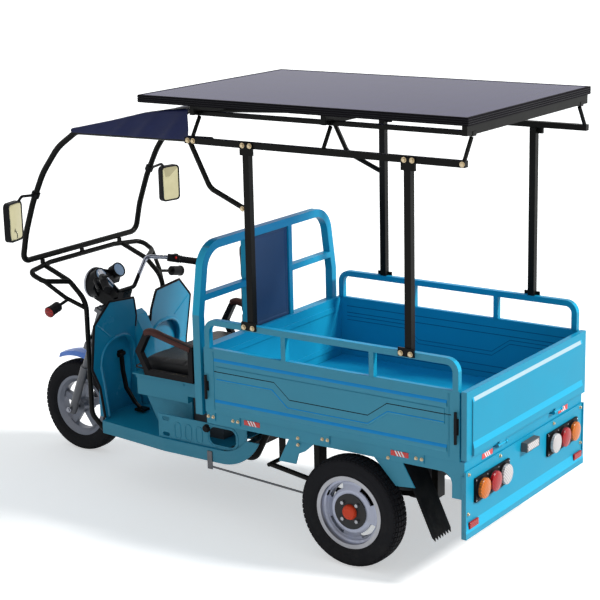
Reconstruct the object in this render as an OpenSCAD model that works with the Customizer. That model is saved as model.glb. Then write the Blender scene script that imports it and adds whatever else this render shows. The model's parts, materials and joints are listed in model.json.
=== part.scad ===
// Solar cargo tricycle: one steered wheel in front, two wheels under an open cargo bed,
// a rider's platform between them, and a roof frame that carries one framed solar module.
// Lengths are millimetres. X points forward, Y to the rider's left, Z up, the ground is zero.

/* [Wheels] */
// Distance from the rear axle to the front axle
wheelbase = 2100; // [2060:5:2140]
// Outside radius of the front tyre
front_tyre_r = 250; // [244:1:254]
// Width of the front tyre
front_tyre_w = 92; // [80:1:100]
// Outside radius of a rear tyre
rear_tyre_r = 255; // [246:1:260]
// Width of a rear tyre
rear_tyre_w = 106; // [92:1:112]
// Sideways distance from the middle to the centre plane of a rear tyre
rear_wheel_y = 562; // [555:1:570]
// Radius of the rear rim flange
rear_rim_r = 169; // [160:1:176]
// Number of hand holes near the edge of the rear wheel disc
rear_slots = 4; // [3:1:6]
// Number of spokes of the front wheel
front_spokes = 5; // [4:1:7]

/* [Steering] */
// Lean of the steering axis from the vertical, in degrees
rake = 22; // [20:0.5:24]
// Distance of the front axle ahead of the steering axis
fork_offset = 40; // [30:1:50]
// Half of the distance between the fork legs
fork_half = 90; // [86:1:96]
// Half of the width of the handlebar at the grip ends
bar_half = 362; // [340:1:375]

/* [Bed] */
// Front face of the cargo bed
bed_front_x = -65; // [-75:1:-55]
// Length of the cargo bed over the tailgate
bed_len = 1387; // [1340:1:1400]
// Width of the cargo bed over the side boards
bed_w = 1152; // [1130:2:1170]
// Height of the loading floor above the ground
bed_floor_z = 585; // [575:1:595]
// Height of the side boards and of the tailgate
board_h = 311; // [290:1:325]
// Thickness of the pressed boards without their ribs
board_t = 22; // [16:1:26]
// How far the pressed ribs stand out of a board
rib_proud = 5; // [3:1:7]
// Height of the guard rail above the top of the side board
guard_h = 139; // [120:1:150]
// Size of the square guard rail tube
guard_t = 28; // [22:1:32]
// Depth of the panel below the tailgate
rear_panel_h = 303; // [280:1:320]

/* [Roof] */
// Length of the solar module
module_len = 1722; // [1680:1:1740]
// Width of the solar module
module_w = 1134; // [1100:2:1140]
// Thickness of the solar module frame
module_t = 35; // [30:1:40]
// Height of the top of the solar module above the ground
roof_top_z = 2042; // [2020:1:2060]
// Size of the square roof posts
post_t = 32; // [28:1:36]
// Height of the module top above the centre of the lower roof rails
roof_lift = 189; // [182:1:204]
// Size of the square lower roof rails
roof_rail_t = 28; // [24:1:32]
// Sideways distance from the middle to the roof posts
post_y = 563; // [558:1:566]

/* [Rider] */
// Height of the platform above the ground
platform_z = 335; // [325:1:345]
// Half of the width of the platform
platform_half = 420; // [400:1:430]
// Radius of the windscreen tube
screen_r = 15; // [12:0.5:17]
// Half of the width of the windscreen opening between the tube centres
screen_half = 441; // [430:1:450]
// Radius of the carrier tubes
carrier_r = 13; // [11:0.5:15]
// Height of the upper carrier tube above the ground
carrier_z = 1092; // [1080:1:1100]
// Top of the headboard hoop above the ground
hoop_top_z = 1370; // [1340:1:1400]
// Size of the square headboard tube
hoop_t = 40; // [34:1:44]

/* [Hidden] */
// Smoothness of round faces
$fn = 48;
// Gap kept between neighbouring pieces that only lie close together
gap = 0.4;
// Running gap between a turning piece and what it turns beside
run = 5;
// Gap of a bore round its shaft
fit = 0.3;
// Thickness of the loading floor sheet
sheet_t = 3;

rear_x = bed_front_x - bed_len;
rear_axle_x = bed_front_x - 810;
front_axle_x = rear_axle_x + wheelbase;
bed_half = bed_w / 2;
board_z0 = bed_floor_z - sheet_t + gap;
board_z1 = board_z0 + board_h;
skirt_z0 = bed_floor_z - 60;
gate_t = 26;
gate_z0 = bed_floor_z + 6;
gate_x0 = rear_x;
gate_x1 = rear_x + gate_t;
side_x0 = gate_x1 + 8;
side_x1 = bed_front_x;
board_y0 = bed_half - board_t - 3;
board_y1 = bed_half - 3;
rail_z = board_z1 + guard_h - guard_t / 2;
module_x0 = rear_x;
module_x1 = module_x0 + module_len;
module_z0 = roof_top_z - module_t;
upper_t = 28;
upper_y = 498;
upper_z1 = module_z0 - 28;
upper_z0 = upper_z1 - upper_t;
post_x = [bed_front_x - 279, rear_x + 280];
strut_x = [rear_x + 22, bed_front_x - 680, bed_front_x + 30];
steer_x = front_axle_x - fork_offset * cos(rake);
steer_z = front_tyre_r - fork_offset * sin(rake);
head_s0 = 418;
head_s1 = 600;
hoop_x0 = bed_front_x + gap;
hoop_x1 = hoop_x0 + hoop_t;
hoop_half = 572;
hoop_knee_z = hoop_top_z - 330;
hoop_lean = 0.17;
hoop_corner = 140;
hoop_ahead = 20;
dash_x = front_axle_x - 393;
pan_x1 = dash_x - 60;
plat_len = dash_x - hoop_x1;
seat_x0 = hoop_x1 + 0.04 * plat_len;
seat_mid = hoop_x1 + 0.304 * plat_len;
seat_x1 = hoop_x1 + 0.678 * plat_len;
bearer_x = hoop_x1 + 54;
roof_rail_z = roof_top_z - roof_lift;
beam_y = 300;
beam_z1 = bed_floor_z - 12;
beam_z0 = beam_z1 - 80;
gate_axis_x = rear_x - 6;
gate_axis_z = bed_floor_z - 1;
gate_hinge_y = [-270, 270];
gate_pin_r = 4;
guard_y = board_y1 - board_t / 2;
lamp_proud = 20;
drum_y = 470;
drum_t = 30;
leaf_y0 = beam_y + 32;
leaf_y1 = leaf_y0 + 50;

// A point moved into the steering head: forward, sideways, along the axis
function steer_pt(p) = [
    steer_x + p[0] * cos(rake) - p[2] * sin(rake),
    p[1],
    steer_z + p[0] * sin(rake) + p[2] * cos(rake)];

function unit(v) = v / norm(v);

// Straight round bar from one point to another
module bar(p, q, r) {
    d = q - p;
    l = norm(d);
    translate(p)
        rotate([0, acos(d[2] / l), atan2(d[1], d[0])])
            cylinder(r = r, h = l);
}

// Quarter bend or any other bend of a round bar at corner c between points p and q
module elbow(p, c, q, r, bend) {
    a = unit(c - p);
    b = unit(q - c);
    n = unit(b - (a * b) * a);
    ang = acos(a * b);
    t = bend * tan(ang / 2);
    o = c - a * t + n * bend;
    k = cross(-n, a);
    multmatrix([
        [-n[0], a[0], k[0], o[0]],
        [-n[1], a[1], k[1], o[1]],
        [-n[2], a[2], k[2], o[2]],
        [0, 0, 0, 1]])
        rotate_extrude(angle = ang)
            translate([bend, 0])
                circle(r = r);
}

function trim_of(p, c, q, bend) = bend * tan(acos(unit(c - p) * unit(q - c)) / 2);

// Bent round tube through a list of points; one bend radius or one for each inner point
module pipe(pts, r, bend) {
    n = len(pts);
    b = is_list(bend) ? bend : [for (i = [2 : n - 1]) bend];
    for (i = [0 : n - 2]) {
        d = unit(pts[i + 1] - pts[i]);
        t0 = i == 0 ? 0 : trim_of(pts[i - 1], pts[i], pts[i + 1], b[i - 1]) - 1;
        t1 = i == n - 2 ? 0 : trim_of(pts[i], pts[i + 1], pts[i + 2], b[i]) - 1;
        bar(pts[i] + d * t0, pts[i + 1] - d * t1, r);
    }
    for (i = [1 : 1 : n - 2])
        elbow(pts[i - 1], pts[i], pts[i + 1], r + 0.3, b[i - 1]);
}

// The same points on the right hand side, in reverse order
function other_side(pts) = [for (i = [len(pts) - 1 : -1 : 0]) [pts[i][0], -pts[i][1], pts[i][2]]];

// Box given by its two opposite corners
module box(p, q) {
    translate(p)
        cube(q - p);
}

// Box on the left and its mirror image on the right
module box_pair(p, q) {
    for (s = [0, 1])
        mirror([0, s, 0])
            box(p, q);
}

module both_sides() {
    for (s = [0, 1])
        mirror([0, s, 0])
            children();
}

// Rectangle with rounded corners between two points of a plane
module round_rect(p, q, r) {
    translate([p[0] + r, p[1]])
        square([q[0] - p[0] - 2 * r, q[1] - p[1]]);
    translate([p[0], p[1] + r])
        square([q[0] - p[0], q[1] - p[1] - 2 * r]);
    for (x = [p[0] + r, q[0] - r])
        for (y = [p[1] + r, q[1] - r])
            translate([x, y])
                circle(r = r);
}

// Drawing plane seen from the side: first number forward, second number up
module side_slab(y0, y1) {
    translate([0, y1, 0])
        rotate([90, 0, 0])
            linear_extrude(height = y1 - y0)
                children();
}

// Drawing plane seen from behind: first number to the left, second number up
module back_slab(x0, x1) {
    translate([x0, 0, 0])
        rotate([90, 0, 90])
            linear_extrude(height = x1 - x0)
                children();
}

// Pieces fixed in the steering head, drawn along the steering axis
module steered() {
    translate([steer_x, 0, steer_z])
        rotate([0, -rake, 0])
            children();
}

// Tyre round the sideways axis: radius, width and the radius of its seat on the rim
module tyre_ring(r, w, seat) {
    rotate([90, 0, 0])
        rotate_extrude($fn = 64)
            difference() {
                union() {
                    translate([seat, -w * 0.36])
                        square([r - seat - w * 0.16, w * 0.72]);
                    translate([seat + 14, -w / 2])
                        square([r - seat - 14 - w * 0.34, w]);
                    intersection() {
                        translate([seat + 20, -w / 2])
                            square([r - seat - 20, w]);
                        translate([r - w * 0.75, 0])
                            circle(r = w * 0.75);
                    }
                }
                translate([seat - 2, -w * 0.30])
                    square([r - seat - w * 0.34, w * 0.60]);
            }
}

module front_tyre() {
    color([0.07, 0.07, 0.08])
        translate([front_axle_x, 0, front_tyre_r])
            tyre_ring(front_tyre_r, front_tyre_w, 158);
}

// Spoked wheel of the steered axle
module front_rim() {
    color([0.70, 0.71, 0.74])
        translate([front_axle_x, 0, front_tyre_r])
            rotate([90, 0, 0])
                difference() {
                    union() {
                        rotate_extrude($fn = 64)
                            polygon([
                                [140, -26], [157.6, -26], [157.6, -34], [168, -34],
                                [168, -37], [150, -37], [132, -20], [132, 20],
                                [150, 37], [168, 37], [168, 34], [157.6, 34],
                                [157.6, 26], [140, 26]]);
                        cylinder(r = 42, h = 100, center = true);
                        for (i = [0 : front_spokes - 1])
                            rotate([0, 0, 90 + i * 360 / front_spokes])
                                translate([30, -19, -14])
                                    cube([108, 38, 28]);
                    }
                    cylinder(r = 8 + fit, h = 140, center = true);
                }
}

module rear_tyre(s) {
    color([0.07, 0.07, 0.08])
        translate([rear_axle_x, s * rear_wheel_y, rear_tyre_r])
            tyre_ring(rear_tyre_r, rear_tyre_w, rear_rim_r - 11);
}

// Pressed steel disc wheel with hand holes near its edge, hub plate, nuts and cap
module rear_rim(s) {
    fl = rear_rim_r;
    seat = rear_rim_r - 11.4;
    hw = rear_tyre_w * 0.36;
    color([0.74, 0.75, 0.77])
        translate([rear_axle_x, s * rear_wheel_y, rear_tyre_r])
            rotate([-90 * s, 0, 0])
                difference() {
                    union() {
                        rotate_extrude($fn = 64)
                            polygon([
                                [seat - 12, -hw + 6], [seat, -hw + 6], [seat, -hw - 2],
                                [fl, -hw - 2], [fl, -hw - 6], [seat - 10, -hw - 6],
                                [seat - 30, -hw + 12], [seat - 30, 2], [120, 6],
                                [96, 18], [84, 18], [20, 18], [20, 24], [86, 24],
                                [98, 24], [122, 12], [seat - 26, 10], [seat - 20, 20],
                                [seat - 10, 22], [seat - 8, hw + 6],
                                [fl, hw + 6], [fl, hw + 2], [seat, hw + 2], [seat, hw - 6],
                                [seat - 4, hw - 8], [seat - 4, 14], [seat - 18, 12],
                                [seat - 22, 2], [seat - 22, -hw + 14]]);
                        translate([0, 0, -30])
                            cylinder(r = 52, h = 52);
                        translate([0, 0, 20])
                            cylinder(r = 82, h = 10);
                        for (i = [0 : 3])
                            rotate([0, 0, 45 + 90 * i])
                                translate([53, 0, 26])
                                    cylinder(r = 9, h = 14, $fn = 6);
                        rotate_extrude($fn = 64)
                            polygon([[0, 26], [35, 26], [35, 38], [31, 46], [22, 50], [0, 50]]);
                    }
                    for (i = [0 : rear_slots - 1])
                        rotate([0, 0, 23 + i * 360 / rear_slots])
                            rotate_extrude(angle = 44)
                                translate([108, -10])
                                    square([22, 60]);
                    translate([0, 0, -31])
                        cylinder(r = 15 + fit, h = 45);
                }
}

// Two telescopic legs, two clamps, stem and wheel spindle
module fork() {
    color([0.62, 0.63, 0.66])
        steered() {
            both_sides()
                translate([fork_offset, fork_half, 0]) {
                    translate([0, 0, -24])
                        cylinder(r = 23, h = 290);
                    cylinder(r = 16, h = 640);
                }
            difference() {
                translate([-30, -fork_half - 26, 377])
                    cube([fork_offset + 56, 2 * fork_half + 52, head_s0 - run - 377]);
                translate([-31, -60, 376])
                    cube([24, 120, 20]);
            }
            translate([-28, -fork_half - 24, head_s1 + run])
                cube([fork_offset + 52, 2 * fork_half + 48, 24]);
            translate([0, 0, 390])
                cylinder(r = 15, h = 230);
            translate([fork_offset, 0, 0])
                rotate([90, 0, 0])
                    cylinder(r = 8, h = 2 * fork_half + 62, center = true);
        }
}

// Bent handlebar with riser, switch clusters and grips
bar_pts = [[-158, bar_half, 917], [-26, 252, 898], [46, 186, 878], [-16, 62, 756]];

module handlebar() {
    top = head_s1 + run + 24;
    color([0.75, 0.76, 0.78])
        steered() {
            translate([-32, -34, top + gap])
                cube([34, 68, 124]);
            pipe(concat(bar_pts, other_side(bar_pts)), 11, 34);
            both_sides() {
                bar([-36.6, 260.8, 899.5], [-84, 300.4, 906.4], 19);
                bar([-88, 303.7, 906.9], [-158, bar_half, 917], 16);
            }
        }
}

// Headlamp shell with the two round gauges above it
module instruments() {
    top = head_s1 + run + 24;
    color([0.10, 0.10, 0.11])
        steered() {
            translate([8, -50, top + gap])
                cube([122, 100, 70]);
            translate([127, 0, 709])
                rotate([0, 90 + rake, 0])
                    cylinder(r = 78, h = 66);
            translate([112, -104, 704])
                cube([40, 208, 58]);
            both_sides()
                translate([140, 70, 752])
                    rotate([0, -38, 0])
                        cylinder(r = 38, h = 46);
        }
}

// Guard over the front tyre, hung under the lower fork clamp
module front_mudguard() {
    r = front_tyre_r + 54;
    color([0.50, 0.58, 0.82])
        union() {
            translate([front_axle_x, 0, front_tyre_r])
                rotate([90, 0, 0])
                    rotate([0, 0, 66])
                        rotate_extrude(angle = 116, $fn = 96)
                            polygon([[r - 22, -56], [r - 20, -58], [r, -40], [r + 4, 0], [r, 40],
                                [r - 20, 58], [r - 22, 56], [r - 4, 38], [r, 0], [r - 4, -38]]);
            steered()
                translate([fork_offset - 22, -24, r + 1])
                    cube([44, 48, 377 - gap - r - 1]);
        }
}

// Steering head tube and the bent backbone behind it
module backbone() {
    color([0.09, 0.09, 0.10])
        difference() {
            union() {
                steered()
                    translate([0, 0, head_s0])
                        cylinder(r = 32, h = head_s1 - head_s0);
                pipe([steer_pt([-24, 0, 500]), [dash_x - 40, 0, 270], [bearer_x + gap, 0, 270]], 24, 90);
            }
            steered()
                translate([0, 0, head_s0 - 1])
                    cylinder(r = 15 + fit, h = head_s1 - head_s0 + 2);
        }
}

// Floor bearers, bed beams and cross members
module chassis_frame() {
    color([0.09, 0.09, 0.10]) {
        both_sides() {
            box([hoop_x1 + 5, 250, 250], [pan_x1 - 5 - gap, 290, platform_z - 4 - gap]);
            pipe([[hoop_x1 + 25, 270, 270], [bed_front_x - 55, 270, 270],
                [bed_front_x - 195, 270, 533]], 17, 60);
            box([rear_x + 22, beam_y - 25, beam_z0], [bed_front_x - 40, beam_y + 25, beam_z1 - gap]);
        }
        box([bearer_x - 40, -270, 252], [bearer_x, 270, 288]);
        difference() {
            box([dash_x - 212, -270, 252], [dash_x - 172, 270, 288]);
            box([dash_x - 232, -26, 200], [dash_x - 152, 26, 300]);
        }
        for (x = [rear_x + 24, rear_axle_x - 300, rear_axle_x + 290, bed_front_x - 110])
            box([x, -beam_y, beam_z0 + 20], [x + 44, beam_y, beam_z1 - 10]);
    }
}

// Platform for the rider's feet with deep side edges that sweep up at the back
module floor_pan() {
    z0 = platform_z - 66;
    x0 = hoop_x1 - 5;
    xm = x0 + 0.44 * (pan_x1 - x0);
    h0 = platform_half;
    h1 = platform_half - 54;
    color([0.02, 0.52, 0.68]) {
        difference() {
            union() {
                translate([0, 0, platform_z - 4])
                    linear_extrude(height = 4)
                        polygon([[x0, h0], [xm, h0], [pan_x1, h1], [pan_x1, h1 - 21], [dash_x - 1, 262],
                            [dash_x - 1, -262], [pan_x1, 21 - h1], [pan_x1, -h1], [xm, -h0], [x0, -h0]]);
                box([pan_x1 - 5, -h1, z0 + 12], [pan_x1, h1, platform_z]);
            }
            box([dash_x - 72, -30, z0 - 10], [dash_x + 8, 30, platform_z + 1]);
        }
        both_sides() {
            translate([0, 0, z0])
                linear_extrude(height = 66)
                    polygon([[xm - 1, h0], [xm, h0], [pan_x1, h1], [pan_x1, h1 - 5], [xm, h0 - 5],
                        [xm - 1, h0 - 5]]);
            side_slab(h0 - 5, h0) {
                translate([x0, z0])
                    square([xm - x0, 66]);
                difference() {
                    translate([x0, z0 + 250])
                        circle(r = 250, $fn = 96);
                    translate([x0, z0 + 250])
                        circle(r = 184, $fn = 96);
                    translate([x0, z0 - 1])
                        square([300, 600]);
                    translate([x0 - 290, z0 + 140])
                        square([400, 600]);
                }
            }
        }
    }
}

// Upright panels beside the battery space with beaded loops and a rounded window
module side_panels() {
    z0 = platform_z + gap;
    y = platform_half - 14;
    xf = seat_x1 - 189;
    xr = bed_front_x;
    xh = hoop_x1;
    color([0.02, 0.52, 0.68])
        both_sides() {
            side_slab(y - 4, y)
                difference() {
                    polygon([[xf, z0], [xf, z0 + 120], [xh + 48, z0 + 120], [xh + 38, skirt_z0 - 1],
                        [xr - 111, skirt_z0 - 1], [xr - 108, z0 + 70], [xr - 80, z0 + 16], [xr - 50, z0]]);
                    for (z = [z0 + 10, z0 + 90])
                        round_rect([xf - 68, z], [xf - 26, z + 19], 8);
                    round_rect([xr - 43, z0 + 18], [xh + 75, z0 + 106], 34);
                }
            side_slab(y - 1, y + 2.5) {
                for (i = [0 : 2])
                    translate([xf - 141 - 66 * i, z0 + 5])
                        difference() {
                            round_rect([0, 0], [44, 87], 21);
                            round_rect([7, 7], [37, 80], 14);
                        }
                difference() {
                    round_rect([xr - 57, z0 + 6], [xh + 89, z0 + 118], 45);
                    round_rect([xr - 51, z0 + 12], [xh + 83, z0 + 112], 39);
                }
            }
        }
}

// Box under the seat that closes the battery space, with a folded lip and a lid below the cushion
module seat_box() {
    z0 = platform_z + gap;
    color([0.02, 0.52, 0.68])
        difference() {
            union() {
                box([seat_mid, -332, 504], [seat_x1, 332, 622]);
                side_slab(-300, 300)
                    polygon([[seat_mid, z0], [seat_x1 - 116, z0], [seat_x1 - 26, 504], [seat_mid, 504]]);
                box([seat_x0, -332, 540], [seat_mid, 332, 622]);
                box([seat_mid + 20, -336, 590], [seat_x1 + 4, 336, 604]);
                box([seat_x0, -366, 616], [seat_x1, 366, 622]);
            }
            box([seat_x0 + 6, -290, z0 - 1], [seat_x1 - 124, 290, 616]);
        }
}

module battery_pack() {
    color([0.16, 0.16, 0.18])
        box([seat_x0 + 50, -285, platform_z + gap], [seat_x1 - 130, 285, 600]);
}

// Rider's cushion, a closed soft form on top of the box
module seat_cushion() {
    color([0.08, 0.08, 0.09])
        side_slab(-328, 328)
            polygon([[seat_x0, 622 + gap], [seat_x1 + 4, 622 + gap], [seat_x1 + 18, 640], [seat_x1 + 10, 676],
                [seat_x1 - 16, 690], [seat_mid + 14, 694], [seat_mid - 46, 716], [seat_x0, 720]]);
}

// Loop with a padded top on each side of the seat
module armrests() {
    z0 = 622 + gap;
    color([0.09, 0.08, 0.08])
        both_sides()
            side_slab(336 + gap, 366)
                difference() {
                    polygon([[seat_x1 - 78, z0], [seat_x1 - 72, 650], [seat_x1 - 24, 738],
                        [seat_x1 - 84, 842], [seat_x1 - 124, 858], [seat_mid - 63, 805],
                        [seat_mid - 63, z0]]);
                    polygon([[seat_x1 - 104, 650], [seat_x1 - 58, 733], [seat_x1 - 106, 820],
                        [seat_x1 - 128, 830], [seat_mid - 36, 780], [seat_mid - 36, 650]]);
                }
}

// Opening for one foot in a leg shield, seen from behind, grown or shrunk all round
arch_y0 = 60;
arch_y1 = 314;
arch_z = 738;

module foot_arch(grow) {
    intersection() {
        round_rect([arch_y0 - grow, 0], [arch_y1 + grow, arch_z + grow], 110 + grow);
        translate([0, platform_z + gap])
            square([1000, 1000]);
    }
}

// Moulded shields in front of the knees: creased plate, beaded arch and a recess behind it
shield_line = [[dash_x - 66, platform_z + gap], [dash_x - 24, 600], [dash_x - 72, 940]];
bead_pts = [[dash_x - 64, arch_y1, platform_z + 9], [dash_x - 24, arch_y1, 600],
    [dash_x - 43.5, arch_y1, arch_z], [dash_x - 43.5, arch_y0, arch_z], [dash_x - 24, arch_y0, 600]];

module leg_shields() {
    t = 5;
    p = shield_line;
    color([0.02, 0.52, 0.68])
        both_sides() {
            difference() {
                intersection() {
                    side_slab(0, 500)
                        polygon([p[0], p[1], p[2], p[2] + [t, 0], p[1] + [t, 0], p[0] + [t, 0]]);
                    back_slab(dash_x - 200, dash_x + 100)
                        polygon([[61, platform_z], [61, 818], [90, 921], [280, 940], [386, 835], [380, 600],
                            [345, 500], [345, platform_z]]);
                }
                back_slab(dash_x - 200, dash_x + 100)
                    foot_arch(0);
            }
            intersection() {
                back_slab(dash_x - 100, dash_x - 4)
                    difference() {
                        foot_arch(1.5);
                        foot_arch(-3);
                    }
                side_slab(0, 500)
                    polygon([p[0], p[1], p[2], [dash_x, 940], [dash_x, platform_z + gap]]);
            }
            back_slab(dash_x - 6, dash_x - 2)
                foot_arch(1.5);
            pipe(bead_pts, 8, [60, 110, 110]);
            bar([dash_x - 56, 366, 834], [dash_x - 44, 262, 752], 5);
        }
}

// Tunnel in the middle that covers the backbone between the shields
module tunnel_form(wall) {
    e = wall > 0 ? 2 : 0;
    intersection() {
        side_slab(-100, 100)
            polygon([[dash_x - 84 + wall, platform_z + gap - e], [dash_x - 88 + wall, 712 - wall / 2],
                [dash_x - 36, 806 - wall * 1.4], [dash_x + e, 826 - wall],
                [dash_x + e, platform_z + gap - e]]);
        translate([0, 0, platform_z - 10])
            linear_extrude(height = 700)
                polygon([[dash_x - 100, wall - 36], [dash_x - 100, 36 - wall], [dash_x + 4, 50 - wall],
                    [dash_x + 4, wall - 50]]);
    }
}

module leg_shield_centre() {
    color([0.02, 0.52, 0.68])
        difference() {
            tunnel_form(0);
            tunnel_form(4);
        }
}

// Foot brake in the left recess: bent lever with a flat tread, hung from a bracket
module brake_pedal() {
    color([0.06, 0.06, 0.07])
        translate([dash_x, 150, 0]) {
            side_slab(-7, 7)
                polygon([[-28, 640], [-8, 640], [-14, 540], [-32, 446], [-92, 372], [-128, 350], [-134, 360],
                    [-106, 382], [-52, 452], [-34, 540]]);
            box([-172, -26, 345], [-116, 30, 357]);
            bar([-18, -22, 628], [-18, 22, 628], 12);
            box([-16, -18, 612], [-6 - gap, 18, 646]);
        }
}

// Outline of the hoop: upright legs that lean in above the knee, round upper corners, shrunk by g
module hoop_form(g) {
    q = sqrt(1 + hoop_lean * hoop_lean);
    r = hoop_corner - g;
    cz = hoop_top_z - hoop_corner;
    cy = hoop_half - hoop_lean * (cz - hoop_knee_z) - hoop_corner * q;
    zk = hoop_knee_z + g * (1 - q) / hoop_lean;
    zt = hoop_top_z - g;
    ty = cy + r / q;
    tz = cz + r * hoop_lean / q;
    zb = board_z0 - 22 - g;
    polygon([[g - hoop_half, zb], [hoop_half - g, zb], [hoop_half - g, zk], [ty, tz], [cy, zt],
        [-cy, zt], [-ty, tz], [g - hoop_half, zk]]);
    for (s = [-1, 1])
        translate([s * cy, cz])
            circle(r = r);
}

// Rectangular tube hoop at the head of the bed with uprights and cross bars
module headboard_hoop() {
    x0 = hoop_x0 + hoop_ahead;
    x1 = hoop_x1 + hoop_ahead;
    color([0.02, 0.60, 0.78]) {
        back_slab(x0, x1) {
            difference() {
                hoop_form(0);
                hoop_form(hoop_t);
            }
            for (s = [-1, 1]) {
                translate([s * 170 - 15, hoop_top_z - 520])
                    square([30, 510]);
                translate([s * 355 - 185, hoop_top_z - 270])
                    square([370, 30]);
            }
            translate([-hoop_half + 5, hoop_top_z - 530])
                square([2 * hoop_half - 10, 40]);
        }
        for (z = [board_z0 + 58, board_z0 + 218])
            box_pair([bed_front_x, 516, z], [x0 + 1, 548, z + 60]);
    }
}

module backrest() {
    x0 = hoop_x0 + hoop_ahead;
    x1 = hoop_x1 + hoop_ahead;
    z = hoop_top_z;
    color([0.20, 0.21, 0.24]) {
        box([x0 + 8, gap - 155, z - 490 + gap], [x1 - 8, 155 - gap, z - 40 - gap]);
        box([x1 + gap, -178, z - 590], [x1 + 44, 178, z - 60]);
    }
}

// Loading floor with its folded edge, corner gussets and the fixed knuckles of the tailgate hinges
module bed_floor() {
    y = bed_half - 10;
    color([0.02, 0.60, 0.78])
        difference() {
            union() {
                box([rear_x + 14, -y, skirt_z0], [bed_front_x, y, bed_floor_z - sheet_t]);
                box([gate_x1 + 2, -board_y0 + 1, bed_floor_z - sheet_t - 2],
                    [bed_front_x - 26, board_y0 - 1, bed_floor_z]);
            }
            box([rear_x + 20, -y + 6, skirt_z0 - 1], [bed_front_x - 6, y - 6, bed_floor_z - 12]);
        }
    color([0.02, 0.60, 0.78])
        for (q = gate_hinge_y)
            for (e = [-42, 29])
                difference() {
                    union() {
                        bar([gate_axis_x, q + e, gate_axis_z], [gate_axis_x, q + e + 13, gate_axis_z], 8.4);
                        box([gate_axis_x, q + e, gate_axis_z - 8],
                            [rear_x + 16, q + e + 13, gate_axis_z - 3]);
                    }
                    bar([gate_axis_x, q - 50, gate_axis_z], [gate_axis_x, q + 50, gate_axis_z],
                        gate_pin_r + fit);
                }
    color([0.02, 0.60, 0.78])
        both_sides()
            side_slab(y - 6, y)
                difference() {
                    translate([rear_x + 14, skirt_z0 - 112])
                        square([112, 114]);
                    translate([rear_x + 126, skirt_z0 - 52])
                        circle(r = 52);
                    translate([rear_x + 74, skirt_z0 - 200])
                        square([80, 148]);
                }
}

module bed_front_wall() {
    color([0.02, 0.60, 0.78]) {
        box([bed_front_x - 20, -board_y0 + gap, bed_floor_z - sheet_t + gap],
            [bed_front_x - gap, board_y0 - gap, board_z1]);
        for (z = [board_z0 + 44, board_z1 - 70])
            box([bed_front_x - 25, -board_y0 + 60, z], [bed_front_x - 20, board_y0 - 60, z + 26]);
    }
}

// Pressed side board with a stepped field, ribs and hinge leaves
hinge_x = [bed_front_x - 1, bed_front_x - 144, (bed_front_x + rear_x) / 2 + 52.5, rear_x + 261];

module side_board(s) {
    z0 = board_z0;
    z1 = board_z1;
    up = z1 - 146;
    low = z1 - 218;
    xa = side_x0 + 0.336 * (side_x1 - side_x0);
    xb = side_x1 - 0.347 * (side_x1 - side_x0);
    step = [[side_x1 - 72, up], [xb + 83, up], [xb, low], [xa, low], [xa - 103, up], [side_x0 + 72, up]];
    rr = 32;
    mirror([0, s < 0 ? 1 : 0, 0])
        color([0.02, 0.60, 0.78]) {
            box([side_x0, board_y0, z0], [side_x1, board_y1, z1]);
            side_slab(board_y1 - 1, board_y1 + rib_proud / 2)
                polygon(concat([[side_x0 + 72, z1 - 84], [side_x1 - 72, z1 - 84]], step));
            pipe([for (p = step) [p[0], board_y1 - 1, p[1]]], 6, 20);
            for (z = [z0 + 51, z1 - 62])
                intersection() {
                    bar([side_x0 + 60, board_y1 + rib_proud - rr, z],
                        [side_x1 - 60, board_y1 + rib_proud - rr, z], rr);
                    box([side_x0, board_y1 - 1, z - 40], [side_x1, board_y1 + 20, z + 40]);
                }
            for (x = [side_x0 + 50, side_x1 - 56])
                box([x, board_y1 - 1, z0 + 16], [x + 6, board_y1 + rib_proud / 2, z1 - 16]);
            for (x = hinge_x)
                box([x - 52, bed_half - 10 + gap, bed_floor_z - 42], [x - 4, bed_half - 4, z0 + 24]);
        }
}

// Spring latches at both ends of the side boards
module board_latches() {
    // Columns: place along the board, lower and upper end below the top of the board
    latch = [[side_x0 + 14, 231, 89], [side_x1 - 14, 245, 130]];
    color([0.05, 0.05, 0.06])
        both_sides()
            for (a = latch) {
                box([a[0] - 11, board_y1 + gap, board_z1 - a[1] + 40],
                    [a[0] + 11, board_y1 + 6, board_z1 - a[2] - 30]);
                bar([a[0], board_y1 + 11, board_z1 - a[1]], [a[0], board_y1 + 11, board_z1 - a[2]], 6.5);
            }
}

// Guard rails on the side boards: bent square tube with two uprights
module guard_rails() {
    t = guard_t;
    y = guard_y - t / 2;
    color([0.02, 0.60, 0.78])
        both_sides()
            difference() {
                side_slab(y, y + t) {
                    difference() {
                        round_rect([side_x0 + 4, 500], [side_x1 - 10, rail_z + t / 2], 60);
                        round_rect([side_x0 + 4 + t, 500 + t], [side_x1 - 10 - t, rail_z - t / 2], 60 - t);
                    }
                    for (x = [bed_front_x - 454, bed_front_x - 919])
                        translate([x - 12, 600])
                            square([24, rail_z - 600]);
                }
                box([-2000, 0, 0], [2000, 1000, board_z1 + gap]);
            }
}

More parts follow.
